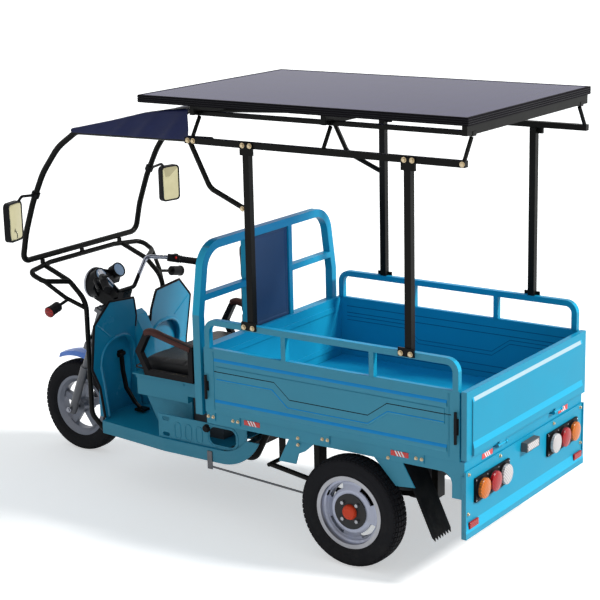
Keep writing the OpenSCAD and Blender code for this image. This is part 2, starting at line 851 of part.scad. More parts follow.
// Drop tailgate with a pressed field that steps out twice towards its lower edge, and two hinges
module tailgate() {
    y = bed_half - 4;
    z0 = gate_z0;
    x0 = gate_x0;
    f = rib_proud;
    color([0.02, 0.60, 0.78]) {
        box([x0, -y, z0], [gate_x1, y, board_z1]);
        side_slab(46 - y, y - 46)
            polygon([[x0 + 1, board_z1 - 34], [x0, board_z1 - 34], [x0 - f, board_z1 - 52], [x0 - f, z0 + 74],
                [x0 - 2.2 * f, z0 + 46], [x0 - 2.2 * f, z0 + 14], [x0 + 1, z0 + 14]]);
        for (q = gate_hinge_y) {
            box([gate_axis_x - 3, q - 28, gate_axis_z - 2], [x0 + 1, q + 28, z0 + 30]);
            bar([gate_axis_x, q - 28, gate_axis_z], [gate_axis_x, q + 28, gate_axis_z], 6);
            bar([gate_axis_x, q - 42, gate_axis_z], [gate_axis_x, q + 42, gate_axis_z], gate_pin_r);
        }
    }
}

// Panel under the tailgate that carries the lamps, swept out at its lower edge
module rear_panel() {
    y = bed_half - 4;
    z1 = skirt_z0 + 14;
    z0 = z1 - rear_panel_h;
    color([0.02, 0.52, 0.68]) {
        box([rear_x + 8, -y, z0], [rear_x + 14 - gap, y, z1]);
        side_slab(-y, y)
            polygon([[rear_x + 9, z0], [rear_x + 1, z0], [rear_x + 1, z0 + 26], [rear_x + 8, z0 + 70],
                [rear_x + 9, z0 + 70]]);
        box_pair([rear_x + 3, y - 10, z0], [rear_x + 9, y, z1]);
    }
}

// Two clusters of round lenses on black plates
module tail_lamps() {
    zc = bed_floor_z - 149;
    color([0.75, 0.10, 0.08])
        both_sides() {
            box([rear_x - 3, 188, zc - 54], [rear_x + 8 - gap, 494, zc + 54]);
            for (i = [0 : 2])
                translate([rear_x - 3, 240 + 101 * i, zc])
                    rotate([0, -90, 0])
                        cylinder(r = 45, h = lamp_proud);
        }
}

module plate_lamp() {
    color([0.45, 0.46, 0.48])
        box([rear_x - 22, -62, bed_floor_z - 104], [rear_x + 8 - gap, 62, bed_floor_z - 62]);
}

// Four roof posts with bolted feet and heads
module roof_posts() {
    h = post_t / 2;
    z0 = rail_z + guard_t / 2 + gap;
    z1 = roof_rail_z - roof_rail_t / 2 - gap;
    yo = guard_y + guard_t / 2 + gap;
    yr = post_y + roof_rail_t / 2 + gap;
    color([0.05, 0.05, 0.06])
        both_sides()
            for (x = post_x) {
                box([x - h, post_y - h, z0], [x + h, post_y + h, z1]);
                box([x - 32, yo, z0 - 22], [x + 48, yo + 8, z0 + 16]);
                box([x - 40, yr - 6, z1 - 30], [x + 28, yr, z1]);
                box([x - 40, yr, z1 - 30], [x + 28, yr + 6, z1 + 24]);
            }
}

// Lower roof rails, slanted struts and braces to the front posts
module roof_rails() {
    t = roof_rail_t / 2;
    xf = bed_front_x + 62;
    color([0.05, 0.05, 0.06])
        both_sides() {
            box([rear_x + 10, post_y - t, roof_rail_z - t], [xf, post_y + t, roof_rail_z + t]);
            for (x = strut_x)
                bar([x, post_y - 2, roof_rail_z + t - 6], [x, upper_y + 2, upper_z0 + 8 - gap - 5.2], 9);
            pipe([[xf - 22, post_y, roof_rail_z - t + 4], [bed_front_x - 66, post_y, roof_rail_z - 210],
                [post_x[0] + post_t / 2 + gap + 5, post_y, roof_rail_z - 288]], 12, 70);
        }
}

// Upper rails, and the cross bars on them that carry the solar module
module module_bearers() {
    color([0.05, 0.05, 0.06]) {
        both_sides()
            box([rear_x + 8, upper_y - upper_t / 2, upper_z0 + 8],
                [strut_x[2] + 12, upper_y + upper_t / 2, upper_z1 - gap]);
        for (x = strut_x)
            box([x - 12, -558, upper_z1 - 14], [x + 12, 558, module_z0 - gap]);
    }
}

module solar_frame() {
    w = module_w / 2;
    color([0.06, 0.06, 0.07])
        difference() {
            box([module_x0, -w, module_z0], [module_x1, w, roof_top_z]);
            box([module_x0 + 11, -w + 11, roof_top_z - 8], [module_x1 - 11, w - 11, roof_top_z + 1]);
            box([module_x0 + 30, -w + 30, module_z0 - 1], [module_x1 - 30, w - 30, roof_top_z]);
            box([module_x0 + 2, -w + 2, module_z0 + 3], [module_x1 - 2, w - 2, roof_top_z - 10]);
        }
}

module solar_glass() {
    w = module_w / 2;
    color([0.05, 0.06, 0.12])
        box([module_x0 + 11 + gap, -w + 11 + gap, roof_top_z - 8 + gap],
            [module_x1 - 11 - gap, w - 11 - gap, roof_top_z - 1]);
}

// Bent tube round the windscreen opening with side tubes back to the roof rails
screen_y = post_y - roof_rail_t / 2 - screen_r - gap;
screen_z0 = carrier_z + 40;
// Columns: place forward of the platform edge, share of the height up to the roof rails
screen_arc = [[68, 0.84], [178, 0.652], [258, 0.436], [318, 0.213], [353, 0]];
// Drop of the upper bend below the roof rails
screen_drop = 30.282;
screen_pts = concat([[bed_front_x - 60, screen_y, roof_rail_z + 2],
    [dash_x - 60, screen_half, roof_rail_z - screen_drop]], [for (a = screen_arc)
    [dash_x + a[0], screen_half, screen_z0 + a[1] * (roof_rail_z - screen_z0)]]);
screen_bends = [60, 300, 400, 400, 400, 45];

module windscreen_frame() {
    n = len(screen_bends) - 1;
    bends = concat(screen_bends, [for (i = [n : -1 : 0]) screen_bends[i]]);
    top = screen_pts[1];
    color([0.06, 0.06, 0.07]) {
        pipe(concat(screen_pts, other_side(screen_pts)), screen_r, bends);
        bar([top[0], -top[1], top[2]], top, 11);
    }
}

// Cover over the rider: sloping top with two side valances, a thin open form
cover_x0 = bed_front_x + 66;
cover_x1 = dash_x - 42;
cover_t = 3;
// Columns: share of the length from the front, height above the lower roof rails
cover_line = [[0, -13], [0.023, -10], [0.36, 47], [0.633, 98], [0.805, 120], [1, 135]];

function cover_pt(c, d) = [cover_x1 + c[0] * (cover_x0 - cover_x1), roof_rail_z + c[1] - d];
function tube_y(x) = screen_y + (x - screen_pts[0][0]) / (screen_pts[1][0] - screen_pts[0][0])
    * (screen_half - screen_y);
function cover_y(x) = tube_y(min(x, screen_pts[1][0])) + screen_r + 2 * gap + cover_t;

module canopy() {
    last = len(cover_line) - 1;
    top = [for (c = cover_line) cover_pt(c, 0)];
    under = [for (i = [last : -1 : 0]) cover_pt(cover_line[i], cover_t)];
    mid = [for (c = cover_line) cover_pt(c, cover_t / 2)];
    xs = screen_pts[1][0];
    w0 = cover_y(cover_x0);
    w1 = cover_y(xs);
    color([0.05, 0.07, 0.20]) {
        intersection() {
            side_slab(-600, 600)
                polygon(concat(top, under));
            linear_extrude(height = 3000)
                polygon([[cover_x0, w0], [xs, w1], [cover_x1, w1], [cover_x1, -w1], [xs, -w1],
                    [cover_x0, -w0]]);
        }
        both_sides()
            intersection() {
                side_slab(300, 600)
                    polygon(concat(mid, [[cover_x0, roof_rail_z - 6], [cover_x1, roof_rail_z - 34]]));
                linear_extrude(height = 3000)
                    polygon([[cover_x0, w0], [xs, w1], [cover_x1, w1], [cover_x1, w1 - cover_t],
                        [xs, w1 - cover_t], [cover_x0, w0 - cover_t]]);
            }
    }
}

// Tube carrier in front of the rider, down to the platform
leg_x = dash_x + 65;
leg_y = 290 + gap + carrier_r + 0.1;
loop_pts = [[dash_x + 168, leg_y + 2, carrier_z - 70], [dash_x + 230, 428, carrier_z - 52],
    [dash_x + 318, 440, carrier_z - 14], [dash_x + 348, 250, carrier_z]];
signal_pts = [[dash_x + 130, 366, 945], [dash_x + 122, 450, 929]];

module front_carrier() {
    r = carrier_r;
    color([0.05, 0.05, 0.06])
        difference() {
            union() {
                pipe(concat(loop_pts, other_side(loop_pts)), r, 45);
                both_sides() {
                    pipe([[dash_x + 339, leg_y, carrier_z - 4.5], [dash_x + 171, leg_y, carrier_z - 69],
                        [leg_x, leg_y, 930], [leg_x, leg_y, platform_z - 5],
                        [dash_x - 20, leg_y, platform_z - 77], [dash_x - 110, leg_y, platform_z - 77]],
                        r, [120, 120, 60, 60]);
                    pipe([[dash_x + 228, 424, carrier_z - 54], [dash_x + 140, 372, 955],
                        [leg_x, leg_y + 1, 893]], r - 2, 60);
                    bar(signal_pts[0], signal_pts[1], 8);
                }
                bar([leg_x, -leg_y, 736], [leg_x, leg_y, 736], r - 2);
                bar([dash_x + 130, 0, 736], [leg_x, 0, 736], r - 2);
                for (y = [-300, 0, 300])
                    box([dash_x + 345, y - 9, carrier_z + 2],
                        [dash_x + 361, y + 9, screen_z0 - screen_r - gap]);
            }
            steered()
                cylinder(r = 32 + gap, h = 900);
        }
}

module turn_signals() {
    d = unit(signal_pts[1] - signal_pts[0]);
    p = signal_pts[1] + gap * d;
    color([0.08, 0.08, 0.09])
        both_sides()
            bar(p, p + 72 * d, 26);
}

// Mirrors with rounded corners on bent arms, each clamped round the windscreen tube
module mirrors() {
    d = unit(screen_pts[3] - screen_pts[4]);
    c = screen_pts[4] + 45 * d;
    m = c + [3, 165, -107];
    color([0.05, 0.05, 0.06])
        both_sides() {
            difference() {
                bar(c - 13 * d, c + 13 * d, screen_r + 7);
                bar(c - 14 * d, c + 14 * d, screen_r + gap);
            }
            pipe([c + [0, screen_r + 4, 0], c + [-2, 100, 8], m + [0, -4, 60]], 7, 20);
            translate(m)
                rotate([0, 0, 12])
                    back_slab(-14, 14)
                        round_rect([-62, -98], [62, 98], 24);
        }
}

// Axle tube with brake drums, and a radius rod forward to a bracket on each beam
module rear_axle() {
    rod_x = rear_axle_x + 551;
    rod_y = 428;
    rod_z = rear_tyre_r + 71;
    color([0.10, 0.10, 0.11]) {
        translate([rear_axle_x, 0, rear_tyre_r])
            rotate([90, 0, 0]) {
                cylinder(r = 30, h = 2 * (rear_wheel_y - 30 - run), center = true);
                cylinder(r = 15, h = 2 * (rear_wheel_y + 8), center = true);
                for (s = [-1, 1]) {
                    translate([0, 0, s * drum_y])
                        cylinder(r = 100, h = drum_t, center = true);
                    translate([0, 0, s * rod_y])
                        cylinder(r = 44, h = 24, center = true);
                }
            }
        both_sides() {
            bar([rear_axle_x + 38, rod_y, rear_tyre_r - 2], [rod_x, rod_y, rod_z], 12);
            bar([rod_x, beam_y + 26, rod_z], [rod_x, rod_y + 14, rod_z], 10);
            box([rod_x - 18, beam_y + 25 + gap, rod_z - 14], [rod_x + 18, beam_y + 31, beam_z1 - 20]);
        }
    }
}

module drive_motor() {
    color([0.13, 0.13, 0.14])
        difference() {
            union() {
                translate([rear_axle_x, 0, rear_tyre_r])
                    rotate([90, 0, 0])
                        cylinder(r = 112, h = 90, center = true);
                translate([rear_axle_x + 20, -45, rear_tyre_r])
                    rotate([-90, 0, 0])
                        translate([0, 0, -180])
                            cylinder(r = 88, h = 180);
            }
            translate([rear_axle_x, 0, rear_tyre_r])
                rotate([90, 0, 0])
                    cylinder(r = 30 + gap, h = 700, center = true);
        }
}

// Bowed leaf springs on the axle
module leaf_springs() {
    rr = 1300;
    color([0.08, 0.08, 0.09])
        both_sides()
            translate([rear_axle_x, 0, rear_tyre_r + 30 + gap]) {
                side_slab(leaf_y0, leaf_y1)
                    translate([0, rr])
                        intersection() {
                            difference() {
                                circle(r = rr, $fn = 240);
                                circle(r = rr - 24, $fn = 240);
                            }
                            translate([-330, -rr - 1])
                                square([660, 90]);
                        }
                for (x = [-330, 300])
                    box([x, beam_y + 25 + gap, 30], [x + 30, leaf_y1 + 6, beam_z0 + 30 - rear_tyre_r - 30]);
            }
}

// Short plates before and behind the rear wheel
module fender_plates() {
    y = bed_half - 16 - gap;
    color([0.02, 0.52, 0.68])
        both_sides()
            side_slab(y - 4, y) {
                polygon([[rear_axle_x + 210, skirt_z0 + 30], [rear_axle_x + 332, skirt_z0 + 30],
                    [rear_axle_x + 405, 410], [rear_axle_x + 310, 411], [rear_axle_x + 294, 463],
                    [rear_axle_x + 259, 480], [rear_axle_x + 212, 522]]);
                polygon([[rear_axle_x - 86, skirt_z0 + 30], [rear_axle_x - 86, 545],
                    [rear_axle_x - 220, 409], [rear_axle_x - 316, 418], [rear_axle_x - 236, skirt_z0 + 30]]);
            }
}

// Slanted rubber flaps with a toothed lower edge behind the rear wheels, hung under the loading floor
module mud_flaps() {
    y0 = 400;
    pitch = 11;
    n = 14;
    color([0.05, 0.05, 0.06])
        both_sides()
            intersection() {
                side_slab(y0, y0 + n * pitch)
                    polygon([[rear_axle_x - 225, beam_z1 - gap], [rear_axle_x - 230, beam_z1 - gap],
                        [rear_axle_x - 413, 180], [rear_axle_x - 408, 180]]);
                back_slab(rear_axle_x - 500, rear_axle_x - 100)
                    polygon(concat([[y0, 700]], [for (i = [0 : n]) [y0 + pitch * i, 203 - 18 * (i % 2)]],
                        [[y0 + n * pitch, 700]]));
            }
}

// Thin pull rod of the parking brake along the left side, with its two levers
module brake_rod() {
    y = platform_half + gap;
    color([0.40, 0.41, 0.43]) {
        box([hoop_x1 + 50, y, 232], [hoop_x1 + 78, y + 6, 322]);
        bar([hoop_x1 + 64, y + 3, 246], [rear_axle_x + 104, 450, 216], 5);
        box([rear_axle_x + 44, 444, 202], [rear_axle_x + 118, drum_y - drum_t / 2 - gap, 230]);
    }
}

chassis_frame();
backbone();
floor_pan();
side_panels();
seat_box();
battery_pack();
seat_cushion();
armrests();
leg_shields();
leg_shield_centre();
brake_pedal();
headboard_hoop();
backrest();
bed_floor();
bed_front_wall();
side_board(1);  // side_board_left
side_board(-1);  // side_board_right
board_latches();
guard_rails();
tailgate();
rear_panel();
tail_lamps();
plate_lamp();
roof_posts();
roof_rails();
module_bearers();
solar_frame();
solar_glass();
windscreen_frame();
canopy();
front_carrier();
turn_signals();
mirrors();
rear_axle();
drive_motor();
leaf_springs();
fender_plates();
mud_flaps();
brake_rod();
fork();
handlebar();
instruments();
front_mudguard();
front_rim();
front_tyre();
rear_rim(1);  // rear_rim_left
rear_rim(-1);  // rear_rim_right
rear_tyre(1);  // rear_tyre_left
rear_tyre(-1);  // rear_tyre_right
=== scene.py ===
import json
import math

import bmesh
import bpy
from mathutils import Matrix, Vector


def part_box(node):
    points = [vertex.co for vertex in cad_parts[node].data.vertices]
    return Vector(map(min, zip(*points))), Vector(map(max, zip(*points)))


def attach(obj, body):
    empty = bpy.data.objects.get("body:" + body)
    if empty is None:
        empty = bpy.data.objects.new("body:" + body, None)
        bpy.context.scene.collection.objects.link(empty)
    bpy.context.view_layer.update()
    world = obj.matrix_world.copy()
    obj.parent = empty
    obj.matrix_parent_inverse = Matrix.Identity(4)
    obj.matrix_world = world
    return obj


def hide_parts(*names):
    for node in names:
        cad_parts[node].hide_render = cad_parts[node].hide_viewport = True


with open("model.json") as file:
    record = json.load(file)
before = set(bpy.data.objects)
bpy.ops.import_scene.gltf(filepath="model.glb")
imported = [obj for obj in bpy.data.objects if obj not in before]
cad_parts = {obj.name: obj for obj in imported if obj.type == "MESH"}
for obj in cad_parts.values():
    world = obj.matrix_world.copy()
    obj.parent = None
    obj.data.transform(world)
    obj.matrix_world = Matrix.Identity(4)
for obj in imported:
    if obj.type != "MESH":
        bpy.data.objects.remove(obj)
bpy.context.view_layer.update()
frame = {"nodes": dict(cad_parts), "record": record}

bl_info = {
    "name": "Solar Cargo Tricycle Dressing",
    "version": (1, 0, 0),
    "blender": (4, 5, 0),
    "location": "View3D > Sidebar > Tricycle",
    "description": "Dresses the packed cargo tricycle with its finishes, soft goods, lamps and fittings",
    "category": "Object",
}

NODES = frame["nodes"]
GROUPS = {}
FINISH = {}

# Places that the pieces share, in metres
RAKE = math.radians(22.0)
STEER_FOOT = Vector((1.1879127, 0.0, 0.2350157))
FRONT_AXLE = Vector((1.225, 0.0, 0.25))
REAR_AXLE = {"left": Vector((-0.875, 0.562, 0.255)), "right": Vector((-0.875, -0.562, 0.255))}
RIM_SEAT = 0.158
RAIL_Z = 1.853
POST_X = (-0.344, -1.172)
BOARD_HINGE_X = (-0.094, -0.237, -0.734, -1.219)
LAMP_Z = 0.436
LAMPS = (("clear", 0.240), ("red", 0.341), ("amber", 0.442))

SIDES = (1, -1)
MIRROR_Y = Matrix.Diagonal((1.0, -1.0, 1.0, 1.0))
WHOLE_TURN = 2 * math.pi
NODE_FINISH = {
    "tail_lamps": "black_plastic", "side_board_left": "board_paint", "side_board_right": "board_paint",
    "tailgate": "gate_paint", "brake_rod": "rod_steel", "handlebar": "bar_steel", "fork": "fork_alloy",
}


# Sizes and colours


def tint(name, text, default):
    return bpy.props.FloatVectorProperty(
        name=name, description=text, subtype="COLOR", default=default, min=0.0, max=1.0)


def span(name, text, default, low, high):
    return bpy.props.FloatProperty(
        name=name, description=text, default=default, min=low, max=high, unit="LENGTH")


def angle(name, text, degrees):
    return bpy.props.FloatProperty(
        name=name, description=text, default=math.radians(degrees), subtype="ANGLE")


def amount(name, text, default, low=0.0):
    return bpy.props.FloatProperty(name=name, description=text, default=default, min=low)


class TRIKE_PG_colours(bpy.types.PropertyGroup):
    paint: tint("Body paint", "Blue paint of the bed, platform and panels", (0.009, 0.285, 0.455))
    shield: tint("Shield plastic", "Moulded leg shields and tunnel", (0.010, 0.255, 0.430))
    black: tint("Frame black", "Black paint of the tubes and the chassis", (0.004, 0.004, 0.0035))
    dust: tint("Road dust", "Pale dust low on the vehicle", (0.30, 0.27, 0.23))
    vinyl: tint("Seat vinyl", "Black grained vinyl of the seat", (0.008, 0.008, 0.010))
    cover: tint("Cover cloth", "Navy coated cloth over the rider", (0.011, 0.016, 0.066))
    pad: tint("Armrest pad", "Brown foam sleeves on the armrests", (0.085, 0.022, 0.016))
    steel: tint("Wheel steel", "Silver paint of the rear wheels", (0.40, 0.42, 0.52))
    guard: tint("Mudguard", "Pale blue front mudguard", (0.15, 0.32, 0.90))
    cell: tint("Solar cell", "Dark blue of the solar cells", (0.026, 0.022, 0.085))


class TRIKE_PG_sizes(bpy.types.PropertyGroup):
    cushion_swell: span("Cushion swell", "Most that a point of the cushion may swell", 0.012, 0.0, 0.03)
    rib_pitch: span("Rib pitch", "Distance between the sewn ribs of the seat", 0.034, 0.01, 0.08)
    tread_depth: span("Tread depth", "Height of the tread blocks over the grooves", 0.005, 0.001, 0.01)
    trim_radius: span("Trim radius", "Radius of the rubber edge trim on the shields", 0.0065, 0.002, 0.012)
    bolt_radius: span("Bolt head", "Half of the width across corners of the roof bolts", 0.009, 0.004, 0.02)
    lens_radius: span("Lamp lens", "Radius of a rear lamp lens", 0.0457, 0.03, 0.05)


class TRIKE_PG_stage(bpy.types.PropertyGroup):
    azimuth: angle("Azimuth", "Direction of the camera round the vehicle", 215.06)
    elevation: angle("Elevation", "Height angle of the camera", 14.19)
    roll: angle("Roll", "Turn of the picture about the line of sight", -1.282)
    distance: span("Distance", "Distance from the aim point to the camera", 8.034, 1.0, 50.0)
    lens: amount("Lens", "Focal length in millimetres on a 36 mm wide sensor", 99.85, 20.0)
    sun: amount("Sun", "Strength of the soft sun from behind", 3.4)
    sky: amount("Sky", "Strength of the even light all round", 0.42)


def colours():
    return bpy.context.scene.trike_colours


def sizes():
    return bpy.context.scene.trike_sizes


# Modelling helpers


def deselect():
    if bpy.context.object and bpy.context.object.mode != "OBJECT":
        bpy.ops.object.mode_set(mode="OBJECT")
    bpy.ops.object.select_all(action="DESELECT")


def start(obj):
    deselect()
    obj.select_set(True)
    bpy.context.view_layer.objects.active = obj


def open_edit(obj):
    """Edit mode with the whole mesh selected."""
    start(obj)
    bpy.ops.object.mode_set(mode="EDIT")
    bpy.ops.mesh.select_all(action="SELECT")


def close_edit():
    bpy.ops.object.mode_set(mode="OBJECT")


def label(obj, name):
    obj.name = name
    obj.data.name = name
    return obj


def settle(obj, name):
    """Puts the object's place into its mesh and names it."""
    start(obj)
    bpy.ops.object.transform_apply(location=True, rotation=True, scale=True)
    return label(obj, name)


def block(name, low, high):
    deselect()
    low, high = Vector(low), Vector(high)
    bpy.ops.mesh.primitive_cube_add(size=1.0, location=(low + high) / 2)
    obj = bpy.context.object
    obj.scale = high - low
    return settle(obj, name)


def rod(name, p, q, radius, sides=24, tip=None):
    """Round bar from p to q, tapered where a radius of its tip is given."""
    p, q = Vector(p), Vector(q)
    place = {"vertices": sides, "depth": (q - p).length, "location": (p + q) / 2,
             "rotation": (q - p).to_track_quat("Z", "Y").to_euler()}
    deselect()
    if tip is None:
        bpy.ops.mesh.primitive_cylinder_add(radius=radius, **place)
    else:
        bpy.ops.mesh.primitive_cone_add(radius1=radius, radius2=tip, **place)
    return settle(bpy.context.object, name)


def pick(obj, test, kind="FACE"):
    """Edit mode with the faces or edges chosen that pass the test."""
    open_edit(obj)
    bpy.ops.mesh.select_mode(type=kind)
    bpy.ops.mesh.select_all(action="DESELECT")
    mesh = bmesh.from_edit_mesh(obj.data)
    for item in mesh.faces if kind == "FACE" else mesh.edges:
        if test(item):
            item.select_set(True)
    mesh.select_flush_mode()
    bmesh.update_edit_mesh(obj.data)


def looks_back(face):
    return face.normal.x < -0.9


def inset(obj, test, *steps, single=False):
    """Insets the faces that pass the test; each step is a thickness and a depth."""
    pick(obj, test)
    for thickness, depth in steps:
        bpy.ops.mesh.inset(thickness=thickness, depth=depth, use_individual=single)
    close_edit()


def modify(obj, kind, **values):
    start(obj)
    modifier = obj.modifiers.new(kind.title(), kind)
    for key, value in values.items():
        setattr(modifier, key, value)
    bpy.ops.object.modifier_apply(modifier=modifier.name)


def soften(obj, width, segments=2, degrees=40.0):
    modify(obj, "BEVEL", width=width, segments=segments, limit_method="ANGLE",
           angle_limit=math.radians(degrees))


def smooth(obj, degrees=35.0):
    start(obj)
    bpy.ops.object.shade_smooth_by_angle(angle=math.radians(degrees))


def clean(obj, distance=1e-5):
    open_edit(obj)
    bpy.ops.mesh.remove_doubles(threshold=distance)
    bpy.ops.mesh.dissolve_degenerate(threshold=1e-6)
    bpy.ops.mesh.select_all(action="SELECT")
    bpy.ops.mesh.normals_make_consistent(inside=False)
    close_edit()


def twin(obj, name, matrix):
    """A copy with its own mesh, moved by a matrix."""
    copy = obj.copy()
    copy.data = obj.data.copy()
    label(copy, name)
    bpy.context.scene.collection.objects.link(copy)
    copy.data.transform(matrix)
    if matrix.determinant() < 0:
        copy.data.flip_normals()
    return copy


def join(name, pieces):
    deselect()
    for piece in pieces:
        piece.select_set(True)
    bpy.context.view_layer.objects.active = pieces[0]
    if len(pieces) > 1:
        bpy.ops.object.join()
    return label(pieces[0], name)


def pair(name, obj):
    """The left piece and its mirror image as one object."""
    return join(name, [obj, twin(obj, name + "_right", MIRROR_Y)])


def turned(name, profile, centre, axis, steps=64):
    """Body of revolution: profile points are (radius, place along the axis), in order round the outline."""
    axis = Vector(axis).normalized()
    side = axis.orthogonal().normalized()
    centre = Vector(centre)
    deselect()
    bpy.ops.mesh.primitive_circle_add(vertices=len(profile), radius=0.01)
    obj = bpy.context.object
    for vert, (radius, along) in zip(obj.data.vertices, profile):
        vert.co = centre + side * radius + axis * along
    open_edit(obj)
    bpy.ops.mesh.spin(steps=steps, angle=WHOLE_TURN, center=centre, axis=axis, use_normal_flip=False)
    close_edit()
    label(obj, name)
    clean(obj, 2e-5)
    return obj


def tube(name, points, radius, sides=12, closed=False, smooth_path=True):
    """Round sleeve along a list of points."""
    deselect()
    curve = bpy.data.curves.new(name, "CURVE")
    curve.dimensions = "3D"
    curve.bevel_depth = radius
    curve.bevel_resolution = max(1, sides // 4 - 1)
    curve.use_fill_caps = True
    curve.resolution_u = 8
    spline = curve.splines.new("BEZIER" if smooth_path else "POLY")
    if smooth_path:
        spline.bezier_points.add(len(points) - 1)
        for item, point in zip(spline.bezier_points, points):
            item.co = point
            item.handle_left_type = item.handle_right_type = "AUTO"
    else:
        spline.points.add(len(points) - 1)
        for item, point in zip(spline.points, points):
            item.co = (*point, 1.0)
    spline.use_cyclic_u = closed
    obj = bpy.data.objects.new(name, curve)
    bpy.context.scene.collection.objects.link(obj)
    start(obj)
    bpy.ops.object.convert(target="MESH")
    obj = bpy.context.object
    clean(obj)
    smooth(obj, 50)
    return obj


def steer_turn(u, y, s):
    """A direction of the steering head: ahead of its axis, to the left, up along it."""
    return Vector((u * math.cos(RAKE) - s * math.sin(RAKE), y, u * math.sin(RAKE) + s * math.cos(RAKE)))


def steer_point(u, y, s):
    return STEER_FOOT + steer_turn(u, y, s)


def set_material(obj, material):
    obj.data.materials.clear()
    obj.data.materials.append(material)


def dress(obj, body, finish, replaced=()):
    set_material(obj, FINISH[finish])
    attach(obj, body)
    if replaced:
        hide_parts(*replaced)


# Node helpers


class Term:
    """A number in a node tree; arithmetic and comparisons with it add math nodes."""

    def __init__(self, socket):
        self.socket = socket
        self.tree = socket.id_data

    def math(self, operation, *others, clamp=False):
        return Term(math_node(self.tree, operation, self, *others, clamp=clamp))

    def __add__(self, other):
        return self.math("ADD", other)

    def __sub__(self, other):
        return self.math("SUBTRACT", other)

    def __mul__(self, other):
        return self.math("MULTIPLY", other)

    def __lt__(self, other):
        return self.math("LESS_THAN", other)

    def __gt__(self, other):
        return self.math("GREATER_THAN", other)

    def __abs__(self):
        return self.math("ABSOLUTE")


def plug(socket, value):
    """Links a value of the tree to a socket, or sets a constant on it."""
    if isinstance(value, Term):
        value = value.socket
    if isinstance(value, bpy.types.NodeSocket):
        socket.id_data.links.new(value, socket)
    elif socket.type == "RGBA" and len(value) == 3:
        socket.default_value = (*value, 1.0)
    else:
        socket.default_value = value


def node(tree, kind, values=None, **settings):
    made = tree.nodes.new(kind)
    for key, value in settings.items():
        setattr(made, key, value)
    for key, value in (values or {}).items():
        plug(made.inputs[key], value)
    return made


def math_node(tree, operation, a, b=0.0, c=0.0, clamp=False):
    made = node(tree, "ShaderNodeMath", {0: a, 1: b, 2: c}, operation=operation, use_clamp=clamp)
    return made.outputs[0]


def mix_colour(tree, factor, a, b):
    return node(tree, "ShaderNodeMix", {0: factor, 6: a, 7: b}, data_type="RGBA").outputs[2]


def spread(value, low, high, to_low=0.0, to_high=1.0, style="SMOOTHSTEP"):
    """Maps one range of a term to another."""
    made = node(value.tree, "ShaderNodeMapRange", {
        "Value": value, "From Min": low, "From Max": high, "To Min": to_low, "To Max": to_high},
        interpolation_type=style)
    return Term(made.outputs["Result"])


def coordinates(tree, kind="Object"):
    return tree.nodes.new("ShaderNodeTexCoord").outputs[kind]


def axes(tree, kind="Object"):
    """The three numbers of a coordinate, as terms."""
    split = node(tree, "ShaderNodeSeparateXYZ", {"Vector": coordinates(tree, kind)}).outputs
    return [Term(split[axis]) for axis in "XYZ"]


def noise(tree, scale, detail):
    made = node(tree, "ShaderNodeTexNoise", {"Vector": coordinates(tree), "Scale": scale, "Detail": detail})
    return Term(made.outputs["Fac"])


def inside(value, low, high):
    return (value > low) * (value < high)


def distance(u, v):
    return (u * u + v * v).math("SQRT")


def line_mask(value, pitch, width, offset=0.0):
    """1 on thin lines that repeat every pitch, 0 between them."""
    cell = value.math("MULTIPLY_ADD", 1.0 / pitch, offset / pitch).math("FRACT")
    return abs(cell - 0.5) > 0.5 - 0.5 * width / pitch


def new_group(name, inputs, outputs):
    tree = bpy.data.node_groups.new(name, "ShaderNodeTree")
    for title, kind, default in inputs:
        socket = tree.interface.new_socket(name=title, in_out="INPUT", socket_type="NodeSocket" + kind)
        socket.default_value = default
    for title, kind in outputs:
        tree.interface.new_socket(name=title, in_out="OUTPUT", socket_type="NodeSocket" + kind)
    return tree, tree.nodes.new("NodeGroupInput").outputs, tree.nodes.new("NodeGroupOutput").inputs


def weather_group():
    """Uneven tone, road dust that thins out with height, and the roughness that goes with both."""
    tree, given, out = new_group(
        "Road Weather",
        [("Color", "Color", (0.5, 0.5, 0.5, 1.0)), ("Dust Color", "Color", (0.3, 0.27, 0.23, 1.0)),
         ("Mottle", "Float", 0.12), ("Scale", "Float", 6.0), ("Dust", "Float", 0.35),
         ("Dust Height", "Float", 0.7), ("Roughness", "Float", 0.35)],
        [("Color", "Color"), ("Roughness", "Float"), ("Height", "Float")])
    broad, fine = noise(tree, given["Scale"], 5.0), noise(tree, 95.0, 3.0)
    uneven = broad - 0.5
    tone = uneven.math("MULTIPLY_ADD", given["Mottle"], 1.0)
    low = spread(axes(tree)[2], 0.0, given["Dust Height"], 1.0, 0.0)
    patch, speck = spread(broad, 0.36, 0.68), spread(fine, 0.45, 0.75)
    film = (low * given["Dust"]).math("MULTIPLY", patch * 0.7 + speck * 0.3, clamp=True)
    toned = node(tree, "ShaderNodeVectorMath", {0: given["Color"], "Scale": tone}, operation="SCALE")
    plug(out["Color"], mix_colour(tree, film, toned.outputs["Vector"], given["Dust Color"]))
    rough = uneven.math("MULTIPLY_ADD", 0.22, given["Roughness"])
    plug(out["Roughness"], film.math("MULTIPLY_ADD", 0.4, rough, clamp=True))
    plug(out["Height"], fine * 0.4 + broad)
    return tree


